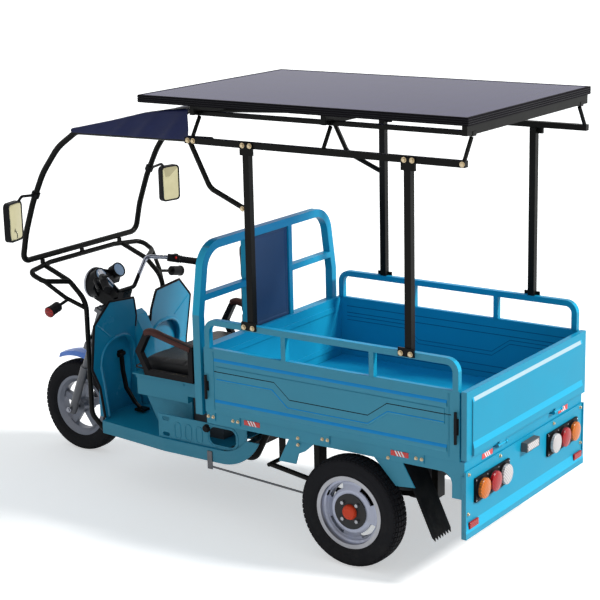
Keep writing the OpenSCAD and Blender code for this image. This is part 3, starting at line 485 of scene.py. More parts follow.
def grain_group():
    """Leather-like grain: small rounded cells with creases between them."""
    tree, given, out = new_group(
        "Vinyl Grain", [("Scale", "Float", 320.0)], [("Height", "Float"), ("Crease", "Float")])
    place = coordinates(tree)
    warp = node(tree, "ShaderNodeTexNoise", {"Vector": place, "Scale": 60.0, "Detail": 2.0})
    moved = node(tree, "ShaderNodeVectorMath", {0: warp.outputs["Color"], 1: (0.006, 0.006, 0.006), 2: place},
                 operation="MULTIPLY_ADD")
    cells = node(tree, "ShaderNodeTexVoronoi", {"Vector": moved.outputs["Vector"], "Scale": given["Scale"]},
                 feature="DISTANCE_TO_EDGE")
    height = spread(Term(cells.outputs["Distance"]), 0.0, 0.28)
    plug(out["Height"], height)
    plug(out["Crease"], math_node(tree, "SUBTRACT", 1.0, height))
    return tree


def weave_group():
    """Plain weave of a coated cloth, read from the sheet's own UV map."""
    tree, given, out = new_group("Cloth Weave", [("Threads", "Float", 400.0)], [("Height", "Float")])
    u, v, _ = [(axis * given["Threads"] * WHOLE_TURN).math("SINE") for axis in axes(tree, "UV")]
    plug(out["Height"], u * v)
    return tree


def spaced(values):
    """Socket names for keyword names."""
    return {key.replace("_", " "): value for key, value in values.items()}


def group(tree, name, **values):
    return node(tree, "ShaderNodeGroup", spaced(values), node_tree=GROUPS[name]).outputs


# Finishes


def new_finish(name, **values):
    """Material with its shader; constant values go on the shader's own sockets."""
    material = bpy.data.materials.new(name)
    material.use_nodes = True
    shader = material.node_tree.nodes["Principled BSDF"]
    feed(shader, **values)
    return material, material.node_tree, shader


def feed(shader, **values):
    for key, value in spaced(values).items():
        plug(shader.inputs[key], value)


def set_bump(tree, shader, height, strength, depth, edge=0.0):
    """Bump of the surface, over rounded edges where an edge radius is given."""
    values = {"Height": height, "Strength": strength, "Distance": depth}
    if edge > 0:
        values["Normal"] = node(tree, "ShaderNodeBevel", {"Radius": edge}, samples=4).outputs["Normal"]
    feed(shader, Normal=node(tree, "ShaderNodeBump", values).outputs["Normal"])


def weather(tree, colour, dust_colour, mottle, scale, dust, dust_height, rough):
    return group(tree, "weather", Color=tuple(colour), Dust_Color=tuple(dust_colour), Mottle=mottle,
                 Scale=scale, Dust=dust, Dust_Height=dust_height, Roughness=rough)


def painted(name, colour, rough=0.32, mottle=0.16, scale=5.0, dust=0.3, dust_height=0.65, metallic=0.0,
            edge=0.0025, bump=0.10, depth=0.0006, spec=0.09, marks=None):
    """Paint, plastic or metal; marks are masks with the tones that they lay over it."""
    material, tree, shader = new_finish(name, Metallic=metallic, Specular_IOR_Level=spec)
    look = weather(tree, colour, colours().dust, mottle, scale, dust, dust_height, rough)
    shade = look["Color"]
    for mask, tone in (marks(tree) if marks else ()):
        shade = mix_colour(tree, mask, shade, tone)
    feed(shader, Base_Color=shade, Roughness=look["Roughness"])
    set_bump(tree, shader, look["Height"], bump, depth, edge)
    return material


def grained(name, colour, rough, scale, strength):
    material, tree, shader = new_finish(name, Specular_IOR_Level=0.2)
    look = weather(tree, colour, colours().dust, 0.25, 9.0, 0.05, 1.2, rough)
    grain = group(tree, "grain", Scale=scale)
    # Painted shade: the creases between the grain cells are darkened towards black.
    crease = Term(grain["Crease"]) * 0.45
    feed(shader, Base_Color=mix_colour(tree, crease, look["Color"], (0.003, 0.003, 0.003)),
         Roughness=look["Roughness"])
    set_bump(tree, shader, grain["Height"], strength, 0.0006)
    return material


def painted_light_marks(tree, tone=(0.017, 0.440, 0.700)):
    """Painted light: a paler painted sheen where the sheet slopes up to the sky, and a thin grey-beige film
    painted on the faces that look outwards, in place of light reflected from the ground.
    """
    painted_veil_tone, painted_veil_share, painted_sheen_share = (0.36, 0.32, 0.18), 0.16, 0.75
    _, side, up = axes(tree, "Normal")
    # Painted reflection: outward faces are mixed towards grey-beige.
    painted_veil = (side * axes(tree)[1] > 0.25) * painted_veil_share
    # Painted sheen: faces that slope up are mixed towards a paler tone.
    slope = spread(up, 0.08, 0.16, 0.0, painted_sheen_share) * (up < 0.8)
    return (painted_veil, painted_veil_tone), (slope, tone)


def gate_marks(tree):
    """Painted light of the tailgate: the painted sheen and film, and a painted highlight on the slope above its
    field.
    """
    slope_low, slope_high, slope_half = 0.842, 0.859, 0.512
    _, y, z = axes(tree)
    painted_veil, sheen = painted_light_marks(tree)
    # Painted highlight: the up-facing slope above the field is mixed towards pale grey-blue.
    strip = inside(z, slope_low, slope_high) * inside(y, -slope_half, slope_half)
    bright = (strip * sheen[0]).math("MULTIPLY", 1.25, clamp=True)
    return painted_veil, sheen, (bright, (0.44, 0.58, 0.63))


def bar_marks(tree):
    """Dark clamp in the middle of the handlebar."""
    clamp_half = 0.105
    return ((abs(axes(tree)[1]) < clamp_half, (0.010, 0.010, 0.011)),)


def board_marks(tree):
    """Painted sheen and film of a side board, the thin black line outside, and thin lines of painted shade inside
    where pressed grooves would be, as the inner faces are flat.
    """
    front_x, front_run, rear_x, rear_run = -0.547, 0.083, -0.963, 0.099
    step_low, step_rise, rib_heights = 0.7155, 0.0700, (0.831, 0.633)
    outer_face, inner_face = 0.5715, 0.5515
    x, y, z = axes(tree)
    reach = abs(y)
    front = x.math("MULTIPLY_ADD", 1 / front_run, -front_x / front_run, clamp=True)
    rear = x.math("MULTIPLY_ADD", -1 / rear_run, rear_x / rear_run, clamp=True)
    level = front.math("MAXIMUM", rear).math("MULTIPLY_ADD", step_rise, step_low)
    away = abs(z - level)
    length = inside(x, -1.378, -0.122)
    line = (away < 0.0022) * ((reach > outer_face) * length)
    # Painted shade: thin dark lines on the flat inner faces stand in for the shade of pressed grooves.
    grooves = abs(away - 0.010) < 0.0018
    for height in rib_heights:
        grooves = grooves.math("MAXIMUM", abs(abs(z - height) - 0.017) < 0.0020)
    inner = grooves * ((reach < inner_face) * length) * 0.75
    # The painted sheen of the boards is a more saturated blue, standing in for reflected sky.
    return (*painted_light_marks(tree, (0.002, 0.290, 0.780)), (line, (0.004, 0.004, 0.005)),
            (inner, (0.003, 0.060, 0.130)))


def cell_glass():
    """Half-cut cells in rows and columns with fine conductors, under glass."""
    low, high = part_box("solar_glass")
    material, tree, shader = new_finish("cell_glass_finish", Roughness=0.15, Specular_IOR_Level=0.012,
                                        Specular_Tint=(0.94, 0.88, 1.0))
    cells_along, cells_across, wires_per_cell = 20, 6, 10
    x, y, _ = axes(tree)
    along, across = (high.x - low.x) / cells_along, (high.y - low.y) / cells_across
    rows = line_mask(x, along, 0.0035, -low.x)
    columns = line_mask(y, across, 0.0045, -low.y)
    wires = line_mask(y, across / wires_per_cell, 0.0009, -low.y)
    silicon = mix_colour(tree, noise(tree, 3.0, 2.0), tuple(colours().cell), (0.034, 0.030, 0.105))
    wired = mix_colour(tree, wires, silicon, (0.050, 0.048, 0.115))
    feed(shader, Base_Color=mix_colour(tree, rows.math("MAXIMUM", columns), wired, (0.003, 0.003, 0.010)))
    return material


def wheel_steel():
    """Silver paint on the rim and disc, black on the hub plate, red on the cap, bright nuts."""
    material, tree, shader = new_finish("wheel_steel_finish", Specular_IOR_Level=0.25)
    axle = REAR_AXLE["left"]
    hub_radius, cap_radius, nuts_from = 0.0835, 0.0362, 0.0375
    hub_face, cap_face = axle.y + 0.0245, axle.y + 0.0302
    x, y, z = axes(tree)
    radius = distance(x - axle.x, z - axle.z)
    proud = abs(y) > cap_face
    hub = (radius < hub_radius) * (abs(y) > hub_face)
    cap = (radius < cap_radius) * proud
    nuts = proud * (radius > nuts_from)
    look = weather(tree, colours().steel, (0.20, 0.18, 0.15), 0.25, 16.0, 0.45, 0.55, 0.36)
    shade = look["Color"]
    for mask, tone in ((hub, (0.012, 0.012, 0.013)), (nuts, (0.30, 0.30, 0.32)), (cap, (0.66, 0.050, 0.012))):
        shade = mix_colour(tree, mask, shade, tone)
    bare = Term(math_node(tree, "SUBTRACT", 1.0, hub.math("MAXIMUM", cap)))
    feed(shader, Base_Color=shade, Roughness=look["Roughness"],
         Metallic=(bare * 0.45).math("MAXIMUM", nuts * 0.9))
    set_bump(tree, shader, look["Height"], 0.08, 0.0005, 0.0015)
    return material


def tyre_rubber():
    material, tree, shader = new_finish("tyre_finish", Specular_IOR_Level=0.12)
    look = weather(tree, (0.007, 0.007, 0.009), (0.070, 0.065, 0.060), 0.4, 22.0, 0.22, 0.50, 0.72)
    feed(shader, Base_Color=look["Color"], Roughness=look["Roughness"])
    set_bump(tree, shader, look["Height"], 0.25, 0.0008)
    return material


def cover_cloth():
    material, tree, shader = new_finish("cover_finish", Specular_IOR_Level=0.12)
    look = weather(tree, colours().cover, (0.25, 0.25, 0.28), 0.5, 7.0, 0.02, 3.0, 0.45)
    feed(shader, Base_Color=look["Color"], Roughness=look["Roughness"])
    set_bump(tree, shader, group(tree, "weave", Threads=420.0)["Height"], 0.12, 0.0004)
    return material


def lens_finish(name, colour, rings=0.0150):
    """Coloured plastic with crossed prism rows; every other cell of the grid is painted darker, as painted shade
    and highlight of the prisms.
    """
    material, tree, shader = new_finish(name, Roughness=0.14, Specular_IOR_Level=0.3)
    _, posts, rows = [(axis * (WHOLE_TURN / rings)).math("SINE") for axis in axes(tree)]
    prism = rows * posts
    # Painted shade: the dark cells of the prism grid.
    prism_shade = tuple(c * 0.32 for c in colour)
    feed(shader, Base_Color=mix_colour(tree, spread(prism, -0.7, 0.7, 0.0, 0.85), colour, prism_shade))
    set_bump(tree, shader, prism, 0.35, 0.0008)
    return material


def strip_finish():
    """Red strip with three slanted white bars in its middle; places come from the piece's own UV map."""
    material, tree, shader = new_finish("strip_finish", Roughness=0.25)
    slant, pitch, phase = 0.16, 0.17, 0.36
    u, v, _ = axes(tree, "UV")
    lean = v * slant + u
    bars = (lean.math("MULTIPLY_ADD", 1 / pitch, phase).math("FRACT") > 0.52) * inside(lean, 0.30, 0.82)
    feed(shader, Base_Color=mix_colour(tree, bars, (0.60, 0.018, 0.014), (0.80, 0.80, 0.80)))
    cells = node(tree, "ShaderNodeTexVoronoi", {"Vector": coordinates(tree), "Scale": 260.0},
                 feature="DISTANCE_TO_EDGE")
    set_bump(tree, shader, cells.outputs["Distance"], 0.3, 0.0004)
    return material


def dial_finish():
    """Pale dial with hour-like ticks and a red hand; distances come from the piece's own UV map."""
    material, tree, shader = new_finish("dial_finish", Roughness=0.18, Specular_IOR_Level=0.3)
    ticks, hand_turn = 24, 2.3
    u, v, _ = [axis - 0.5 for axis in axes(tree, "UV")]
    radius = distance(u, v)
    turn = v.math("ARCTAN2", u)
    tick = ((turn * (ticks / WHOLE_TURN)).math("FRACT") < 0.22) * inside(radius, 0.34, 0.44)
    hand = (abs(turn - hand_turn) < 0.07) * (radius < 0.36)
    shade = mix_colour(tree, tick, (0.36, 0.50, 0.66), (0.02, 0.02, 0.03))
    feed(shader, Base_Color=mix_colour(tree, (radius < 0.07).math("MAXIMUM", hand), shade, (0.45, 0.03, 0.02)))
    return material


def mirror_glass():
    material, tree, shader = new_finish("mirror_glass_finish", Metallic=1.0)
    film = noise(tree, 30.0, 4.0)
    feed(shader, Roughness=spread(film, 0.35, 0.75, 0.02, 0.09),
         Base_Color=mix_colour(tree, film, (0.50, 0.46, 0.29), (0.40, 0.37, 0.22)))
    return material


def make_finishes():
    c = colours()
    GROUPS.update(weather=weather_group(), grain=grain_group(), weave=weave_group())
    jet = (0.007, 0.007, 0.008)
    paints = {
        # The three blue paints carry painted light: a painted sheen on up-facing slopes and a painted grey-beige
        # film of reflected light on outward faces.
        "blue_paint": dict(colour=c.paint, rough=0.34, dust=0.14, dust_height=0.55, marks=painted_light_marks),
        "gate_paint": dict(colour=c.paint, rough=0.34, dust=0.0, marks=gate_marks),
        "board_paint": dict(colour=c.paint, rough=0.34, dust=0.0, marks=board_marks),
        "blue_plastic": dict(colour=c.shield, rough=0.24, mottle=0.10, dust=0.10, spec=0.3),
        "lavender_paint": dict(colour=c.guard, rough=0.28, dust=0.10, dust_height=0.6, spec=0.3),
        "black_paint": dict(colour=c.black, rough=0.36, mottle=0.3, scale=9.0, dust=0.05, edge=0.002),
        "black_plastic": dict(colour=jet, rough=0.45, mottle=0.3, scale=30.0, dust=0.05, bump=0.2),
        "flap_rubber": dict(colour=jet, rough=0.62, mottle=0.5, scale=18.0, dust=0.10),
        "grip_rubber": dict(colour=jet, rough=0.66, mottle=0.4, scale=60.0, dust=0.05, edge=0.0),
        "grey_plastic": dict(colour=(0.10, 0.105, 0.11), rough=0.5, dust=0.1),
        "slate_board": dict(colour=(0.038, 0.080, 0.155), rough=0.45, mottle=0.3, dust=0.0),
        "red_button": dict(colour=(0.55, 0.02, 0.015), rough=0.3, dust=0.0, edge=0.0),
        "black_aluminium": dict(colour=(0.006, 0.005, 0.007), rough=0.55, dust=0.0, spec=0.03),
        "ridge_aluminium": dict(colour=(0.010, 0.010, 0.013), rough=0.35, dust=0.0, spec=0.10),
        "cast_metal": dict(colour=(0.045, 0.045, 0.048), rough=0.6, mottle=0.6, scale=40.0, dust=0.3,
                           bump=0.5, depth=0.002, metallic=0.3),
        "bright_steel": dict(colour=(0.34, 0.35, 0.39), rough=0.22, mottle=0.15, metallic=1.0, dust=0.05),
        "bar_steel": dict(colour=(0.30, 0.32, 0.38), rough=0.22, mottle=0.15, metallic=1.0, dust=0.0,
                          marks=bar_marks),
        "fork_alloy": dict(colour=(0.15, 0.15, 0.16), rough=0.38, mottle=0.3, metallic=0.5, dust=0.15),
        "rod_steel": dict(colour=(0.13, 0.13, 0.14), rough=0.40, mottle=0.4, metallic=0.6, dust=0.10),
        "brass": dict(colour=(0.52, 0.42, 0.27), rough=0.34, mottle=0.3, scale=60.0, metallic=0.9, dust=0.0),
        "wheel_alloy": dict(colour=(0.20, 0.21, 0.25), rough=0.36, mottle=0.3, scale=14.0, metallic=0.4,
                            dust=0.15),
    }
    for name, look in paints.items():
        FINISH[name] = painted(f"{name}_finish", **look)
    for name, colour in (("red_lens", (0.46, 0.006, 0.008)), ("amber_lens", (0.72, 0.17, 0.004)),
                         ("clear_lens", (0.70, 0.66, 0.66))):
        FINISH[name] = lens_finish(f"{name}_finish", colour)
    FINISH.update(
        black_vinyl=grained("black_vinyl_finish", c.vinyl, 0.42, 330.0, 0.35),
        brown_pad=grained("brown_pad_finish", c.pad, 0.48, 420.0, 0.3),
        navy_vinyl=cover_cloth(), cell_glass=cell_glass(), wheel_steel=wheel_steel(), tyre=tyre_rubber(),
        strip=strip_finish(), dial=dial_finish(), mirror_glass=mirror_glass())


def paint_nodes():
    for row in frame["record"]["subparts"]:
        set_material(NODES[row["node"]], FINISH[NODE_FINISH.get(row["node"], row["material_slot"])])


# Soft goods


def swell(obj, most, pressure, voxel, frames=16):
    """Inflates a closed form as stuffed cloth and keeps each point within reach of where it began."""
    modify(obj, "REMESH", mode="VOXEL", voxel_size=voxel)
    rest = [vert.co.copy() for vert in obj.data.vertices]
    cloth = obj.modifiers.new("Stuffing", "CLOTH")
    settings = cloth.settings
    settings.use_pressure = True
    settings.uniform_pressure_force = pressure
    settings.effector_weights.gravity = 0.0
    settings.quality = 4
    settings.tension_stiffness = 12.0
    settings.compression_stiffness = 12.0
    settings.bending_stiffness = 0.6
    cloth.point_cache.frame_start = 1
    cloth.point_cache.frame_end = frames
    for index in range(1, frames + 1):
        bpy.context.scene.frame_set(index)
    start(obj)
    bpy.ops.object.modifier_apply(modifier=cloth.name)
    bpy.context.scene.frame_set(1)
    for vert, home in zip(obj.data.vertices, rest):
        move = vert.co - home
        if move.length > most:
            vert.co = home + move * (most / move.length)


def make_cushion():
    """Rider's cushion: smooth front, sewn ribs across the rear, welt round its edge."""
    low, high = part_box("seat_cushion")
    room = sizes().cushion_swell
    obj = twin(NODES["seat_cushion"], "seat_cushion_cover", Matrix.Identity(4))
    clean(obj, 1e-4)
    middle = (low + high) / 2
    size = high - low
    shrink = Vector((1 - 2 * room / size.x, 1 - 2 * room / size.y, 1 - room / size.z))
    for vert in obj.data.vertices:
        vert.co.x = middle.x + (vert.co.x - middle.x) * shrink.x
        vert.co.y = middle.y + (vert.co.y - middle.y) * shrink.y
        vert.co.z = low.z + (vert.co.z - low.z) * shrink.z
    soften(obj, 0.018, 4, 25)
    swell(obj, room, 5.0, 0.008)
    modify(obj, "SMOOTH", factor=0.5, iterations=4)
    top_from, top_fade = 0.55, 0.25
    ribs_end, ribs_reach, rib_depth = low.x + 0.27, 0.291, 0.010
    seam, crown_rise, crown_reach = 0.008, 0.006, 0.33
    for vert in obj.data.vertices:
        height = (vert.co.z - low.z) / size.z
        if height > top_from:
            lift = min(1.0, (height - top_from) / top_fade)
            if vert.co.x < ribs_end and abs(vert.co.y) < ribs_reach:
                wave = abs(math.sin(math.pi * (vert.co.x - low.x) / sizes().rib_pitch))
                vert.co.z -= rib_depth * (1 - wave) ** 2 * lift
            vert.co.z += crown_rise * (1 - (vert.co.y / crown_reach) ** 2) * lift
            away = abs(vert.co.x - ribs_end)
            if away < seam:
                vert.co.z -= (seam - away) * lift
        vert.co.z = max(vert.co.z, low.z)
    modify(obj, "SUBSURF", levels=1, render_levels=1)
    smooth(obj, 60)
    dress(obj, "frame", "black_vinyl", ["seat_cushion"])
    z = low.z + 0.020
    front, rear, side = high.x - 0.006, low.x + 0.004, 0.329
    edge = [(front, -0.318, z), (high.x - 0.004, 0.0, z), (front, 0.318, z), (high.x - 0.03, side, z),
            (0.25, 0.330, z), (low.x + 0.03, side, z), (rear, 0.31, z), (rear, -0.31, z),
            (low.x + 0.03, -side, z), (0.25, -0.330, z), (high.x - 0.03, -side, z)]
    welt = tube("seat_cushion_welt", edge, 0.0042, 8, closed=True)
    dress(welt, "frame", "black_vinyl")


def make_backrest():
    """Board in the hoop, seen from behind, and the stuffed pad before it."""
    low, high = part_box("backrest")
    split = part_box("headboard_hoop")[1].x
    board = block("backrest_board", (low.x, -0.1546, 0.8804), (split - 0.008, 0.1546, high.z))
    inset(board, looks_back, (0.014, 0.0), (0.004, -0.004))
    soften(board, 0.003)
    smooth(board)
    dress(board, "frame", "slate_board")
    pad = block("backrest_pad", (split + 0.004, -0.168, low.z + 0.012), (high.x - 0.010, 0.168, high.z - 0.032))
    soften(pad, 0.014, 3)
    swell(pad, 0.012, 5.0, 0.007)
    modify(pad, "SMOOTH", factor=0.5, iterations=3)
    seam_half, seam_depth = 0.016, 0.012
    for vert in pad.data.vertices:
        if vert.co.x > split + 0.02:
            for seam in (low.z + 0.17, low.z + 0.34):
                away = abs(vert.co.z - seam)
                if away < seam_half:
                    vert.co.x -= seam_depth * (1 - away / seam_half) ** 2
        vert.co.x = max(vert.co.x, split + 0.0006)
    modify(pad, "SUBSURF", levels=1, render_levels=1)
    smooth(pad, 60)
    dress(pad, "frame", "black_vinyl", ["backrest"])


def make_armrest_pads():
    """Brown foam sleeve along the top bar of each armrest."""
    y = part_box("armrests")[1].y - 0.0147
    widen = 1.12
    path = [(0.468, 0.834), (0.452, 0.842), (0.430, 0.8445), (0.350, 0.8265), (0.260, 0.8065), (0.186, 0.7905)]
    sleeve = tube("armrest_pad_left", [(x, y, z) for x, z in path], 0.0185, 24)
    for vert in sleeve.data.vertices:
        vert.co.y = y + (vert.co.y - y) * widen
    for obj in (sleeve, twin(sleeve, "armrest_pad_right", MIRROR_Y)):
        smooth(obj, 60)
        dress(obj, "frame", "brown_pad")


def make_cover():
    """Coated cloth over the rider: one sheet that falls over the side tubes, with slack folds."""
    low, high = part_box("canopy")
    crease = [(0.0, -0.013), (0.023, -0.010), (0.36, 0.047), (0.633, 0.098), (0.805, 0.120), (1.0, 0.135)]
    columns, rows = 61, 104
    slack, ripple, sag_depth, crumple = 0.020, 0.002, 0.010, 0.0022
    front_half, widen_from, widen = 0.4600, 0.772, 0.1033
    hem_front, hem_rise = RAIL_Z - 0.034, 0.028

    def top(t):
        for (a, za), (b, zb) in zip(crease, crease[1:]):
            if t <= b:
                return RAIL_Z + za + (zb - za) * (t - a) / (b - a)
        return RAIL_Z + crease[-1][1]

    deselect()
    bpy.ops.mesh.primitive_grid_add(x_subdivisions=columns - 1, y_subdivisions=rows - 1, size=1.0)
    obj = bpy.context.object
    span_x = high.x - low.x
    for vert in obj.data.vertices:
        t = vert.co.x + 0.5
        s = (vert.co.y + 0.5) * 2 - 1
        x = high.x - t * span_x
        half = front_half + max(0.0, widen_from - x) * widen
        peak = top(t)
        drop = peak - (hem_front + hem_rise * t)
        reach = abs(s) * (half + drop)
        side = 1.0 if s >= 0 else -1.0
        over = max(0.0, reach - half)
        share = over / drop
        sag = sag_depth * math.sin(math.pi * min(1.0, reach / half)) ** 2 * math.sin(math.pi * t)
        fold = slack * math.sin(4.5 * t * math.pi + 2.8 * share) ** 4
        fold *= math.sin(math.pi * (0.15 + 0.7 * share)) * (0.4 + t)
        fold += ripple * math.sin(20 * t + 3 * share) ** 2
        z = peak - sag - over
        if over <= 0:
            z += crumple * math.sin(31 * t + 9 * s) * math.sin(14 * s + 5 * t) * (1 - reach / half)
        vert.co = (x, side * (min(reach, half) + fold * share), z)
    open_edit(obj)
    bpy.ops.mesh.normals_make_consistent(inside=False)
    close_edit()
    modify(obj, "SOLIDIFY", thickness=0.0016, offset=-1.0)
    modify(obj, "SUBSURF", levels=1, render_levels=1)
    smooth(obj, 70)
    label(obj, "rider_cover")
    dress(obj, "frame", "navy_vinyl", ["canopy"])


# Wheels


def make_tyre(name, node_name, centre, radius, width, body, blocks=64):
    """Tyre with ribbed side walls and rows of tread blocks that lean into a chevron."""
    w, seat = width, RIM_SEAT
    wall = [(seat + rise, share * w) for rise, share in (
        (0.001, 0.335), (0.008, 0.400), (0.016, 0.452), (0.020, 0.440), (0.026, 0.478), (0.040, 0.496),
        (0.052, 0.499), (0.056, 0.488), (0.060, 0.494))]
    crown = [(radius - drop, share * w) for drop, share in (
        (0.0170, 0.462), (0.0105, 0.405), (0.0060, 0.290), (0.0048, 0.098))]
    half = wall + crown
    profile = half + [(r, -y) for r, y in reversed(half)]
    profile += [(seat + 0.012, -0.27 * w), (seat + 0.012, 0.27 * w)]
    obj = turned(name, profile, centre, (0, 1, 0), blocks)
    tread = radius - 0.0115
    for vert in obj.data.vertices:
        away = vert.co - centre
        flat = Vector((away.x, 0, away.z))
        if flat.length > tread:
            turn = Matrix.Rotation(0.9 * (abs(away.y) / w) * (WHOLE_TURN / blocks), 3, "Y")
            vert.co = centre + turn @ flat + Vector((0, away.y, 0))

    def on_tread(face):
        away = face.calc_center_median() - centre
        outward = face.normal.dot(Vector((away.x, 0, away.z))) > 0
        return outward and math.hypot(away.x, away.z) > tread - 0.004

    inset(obj, on_tread, (0.0022, 0.0), (0.0008, sizes().tread_depth), single=True)
    smooth(obj, 32)
    dress(obj, body, "tyre", [node_name])


def make_tyres():
    make_tyre("front_tyre_tread", "front_tyre", FRONT_AXLE, 0.250, 0.092, "front_wheel")
    for side, axle in REAR_AXLE.items():
        make_tyre(f"rear_tyre_tread_{side}", f"rear_tyre_{side}", axle, 0.255, 0.106, f"rear_wheel_{side}")


def make_wheel_fittings():
    """Tyre valve on each rear wheel and the front axle nuts."""
    for side, sign in zip(REAR_AXLE, SIDES):
        foot = REAR_AXLE[side] + Vector((0.118, sign * 0.012, 0.075))
        stem = rod("stem", foot, foot + Vector((-0.010, sign * 0.030, -0.006)), 0.0042, 12)
        tip = rod("tip", foot + Vector((-0.010, sign * 0.028, -0.006)),
                  foot + Vector((-0.014, sign * 0.040, -0.0085)), 0.0052, 12, 0.004)
        valve = join(f"rear_valve_{side}", [stem, tip])
        soften(valve, 0.0008)
        dress(valve, f"rear_wheel_{side}", "grip_rubber")
    nuts = []
    for sign in SIDES:
        for start_y, end_y, radius, sides in ((0.121, 0.131, 0.015, 24), (0.131, 0.139, 0.0105, 6)):
            nuts.append(rod("nut", steer_point(0.040, sign * start_y, 0.0),
                            steer_point(0.040, sign * end_y, 0.0), radius, sides))
    nut = join("front_axle_nuts", nuts)
    soften(nut, 0.001)
    dress(nut, "steering", "bright_steel")


# Lamps, mirrors and controls


def lens(name, centre, axis, radius, rise, steps=40):
    """Domed lens with a stepped rim."""
    shares = [(0.0, 0.0), (1.0, 0.0), (1.0, 0.35), (0.93, 0.42), (0.90, 0.50), (0.72, 0.76), (0.46, 0.93),
              (0.20, 0.99), (0.0, 1.0)]
    obj = turned(name, [(across * radius, along * rise) for across, along in shares], centre, axis, steps)
    smooth(obj, 30)
    return obj


def make_rear_lamps():
    """Coloured covers over the six round lenses, with thin rims and screws, and the plate lamp's window."""
    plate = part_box("rear_panel")[0].x - 0.0040
    back = (-1, 0, 0)
    screw_y, screw_rise = (0.1935, 0.2905, 0.3915, 0.4885), 0.046
    r = sizes().lens_radius
    dome = [(0.0, 0.0), (r, 0.0), (r, 0.0190), (0.95 * r, 0.0212), (0.90 * r, 0.0212), (0.84 * r, 0.0226),
            (0.62 * r, 0.0252), (0.34 * r, 0.0264), (0.0, 0.0268)]
    ring = [(r + 0.0003, 0.0), (r + 0.0036, 0.0), (r + 0.0036, 0.006), (r + 0.0020, 0.0085), (r + 0.0003, 0.0085)]
    for kind, y in LAMPS:
        obj = join(f"rear_{kind}_lenses", [
            turned(f"{kind}_lens", dome, (plate, sign * y, LAMP_Z), back, 40) for sign in SIDES])
        smooth(obj, 30)
        dress(obj, "frame", f"{kind}_lens")
    rims, screws = [], []
    for sign in SIDES:
        for _, y in LAMPS:
            rims.append(turned("rim", ring, (plate, sign * y, LAMP_Z), back, 40))
        for y in screw_y:
            for dz in (screw_rise, -screw_rise):
                screws.append(lens("screw", (plate, sign * y, LAMP_Z + dz), back, 0.0042, 0.002, 14))
    rim = join("rear_lamp_rims", rims)
    smooth(rim, 30)
    dress(rim, "frame", "black_plastic")
    dress(join("rear_lamp_screws", screws), "frame", "bright_steel")
    low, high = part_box("plate_lamp")
    window = block("plate_lamp_window", (low.x - 0.0030, low.y + 0.014, low.z + 0.004),
                   (low.x + 0.0010, high.y - 0.006, high.z - 0.005))
    inset(window, looks_back, (0.004, 0.0015))
    soften(window, 0.0012)
    dress(window, "frame", "clear_lens")


def strip_piece(low, high, axis, start_at, end_at):
    """One strip whose UV map runs from its left end to its right end as it is seen from outside."""
    strip = block("strip", low, high)
    layer = strip.data.uv_layers.active
    for loop in strip.data.loops:
        place = strip.data.vertices[loop.vertex_index].co
        layer.data[loop.index].uv = ((place[axis] - start_at) / (end_at - start_at),
                                     (place.z - low[2]) / (high[2] - low[2]))
    return strip


def make_reflectors():
    """Red reflectors and folded side edges of the rear panel, and slanted strips on the skirt of the bed."""
    panel_low, panel_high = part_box("rear_panel")
    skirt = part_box("bed_floor")[1].y
    back = panel_low.x
    plates, strips, flanges = [], [], []
    for sign in SIDES:
        middle, half = sign * 0.506, 0.0385
        plate = block("plate", (back - 0.0035, middle - half, 0.278), (back + 0.0050, middle + half, 0.308))
        inset(plate, looks_back, (0.004, 0.0012))
        soften(plate, 0.0012)
        plates.append(plate)
    dress(join("rear_reflectors", plates), "frame", "red_lens")
    for sign in SIDES:
        near, far = sorted((sign * skirt, sign * skirt + sign * 0.002))
        half = 0.045
        for x in (-0.327, -1.119):
            strips.append(strip_piece((x - half, near, 0.551), (x + half, far, 0.575), 0,
                                      x + sign * half, x - sign * half))
        middle, half = sign * 0.366, 0.048
        strips.append(strip_piece((-1.4399, middle - half, 0.550), (-1.4379, middle + half, 0.574), 1,
                                  middle + half, middle - half))
    strip = join("reflector_strips", strips)
    soften(strip, 0.0006, 1)
    dress(strip, "frame", "strip")
    for sign in SIDES:
        near, far = sorted((sign * (panel_high.y - 0.004), sign * panel_high.y))
        flange = block("flange", (panel_high.x + 0.0002, near, panel_low.z), (panel_high.x + 0.012, far, 0.520))
        soften(flange, 0.0012)
        flanges.append(flange)
    dress(join("rear_panel_flanges", flanges), "frame", "blue_paint")


def make_front_lamps():
    """Ends of the turn signals, and the headlamp's glass with its bright ring."""
    away = Vector((-0.008, 0.084, -0.016)).normalized()
    tip = Vector((0.954, 0.450, 0.929)) + away * 0.0724
    end = lens("turn_signal_lens_left", tip + away * 0.0004, away, 0.0262, 0.013, 32)
    bezel = turned("bezel", [(0.0263, -0.010), (0.0285, -0.008), (0.0285, 0.002), (0.0263, 0.004)], tip, away, 32)
    smooth(bezel, 40)
    dress(pair("turn_signal_lenses", end), "frame", "red_lens")
    dress(pair("turn_signal_bezels", bezel), "frame", "black_plastic")
    axis = Vector((1.0, 0.0, 0.0))
    front = steer_point(0.127, 0.0, 0.709) + axis * 0.066
    glass = lens("headlamp_glass", front + axis * 0.0004, axis, 0.068, 0.020, 48)
    dress(glass, "steering", "clear_lens")
    profile = [(0.0685, 0.0), (0.0815, -0.006), (0.0825, 0.002), (0.078, 0.009), (0.0685, 0.011)]
    ring = turned("headlamp_bezel", profile, front, axis, 48)
    smooth(ring, 40)
    dress(ring, "steering", "bright_steel")


def round_plate(name, half_width, half_height, corner, thick):
    """Plate with rounded corners that lies across X, its front at zero."""
    obj = block(name, (0, -half_width, -half_height), (thick, half_width, half_height))
    pick(obj, lambda e: abs((e.verts[0].co - e.verts[1].co).x) > 0.9 * thick, "EDGE")
    bpy.ops.mesh.bevel(offset=corner, segments=6, affect="EDGES")
    close_edit()
    return obj


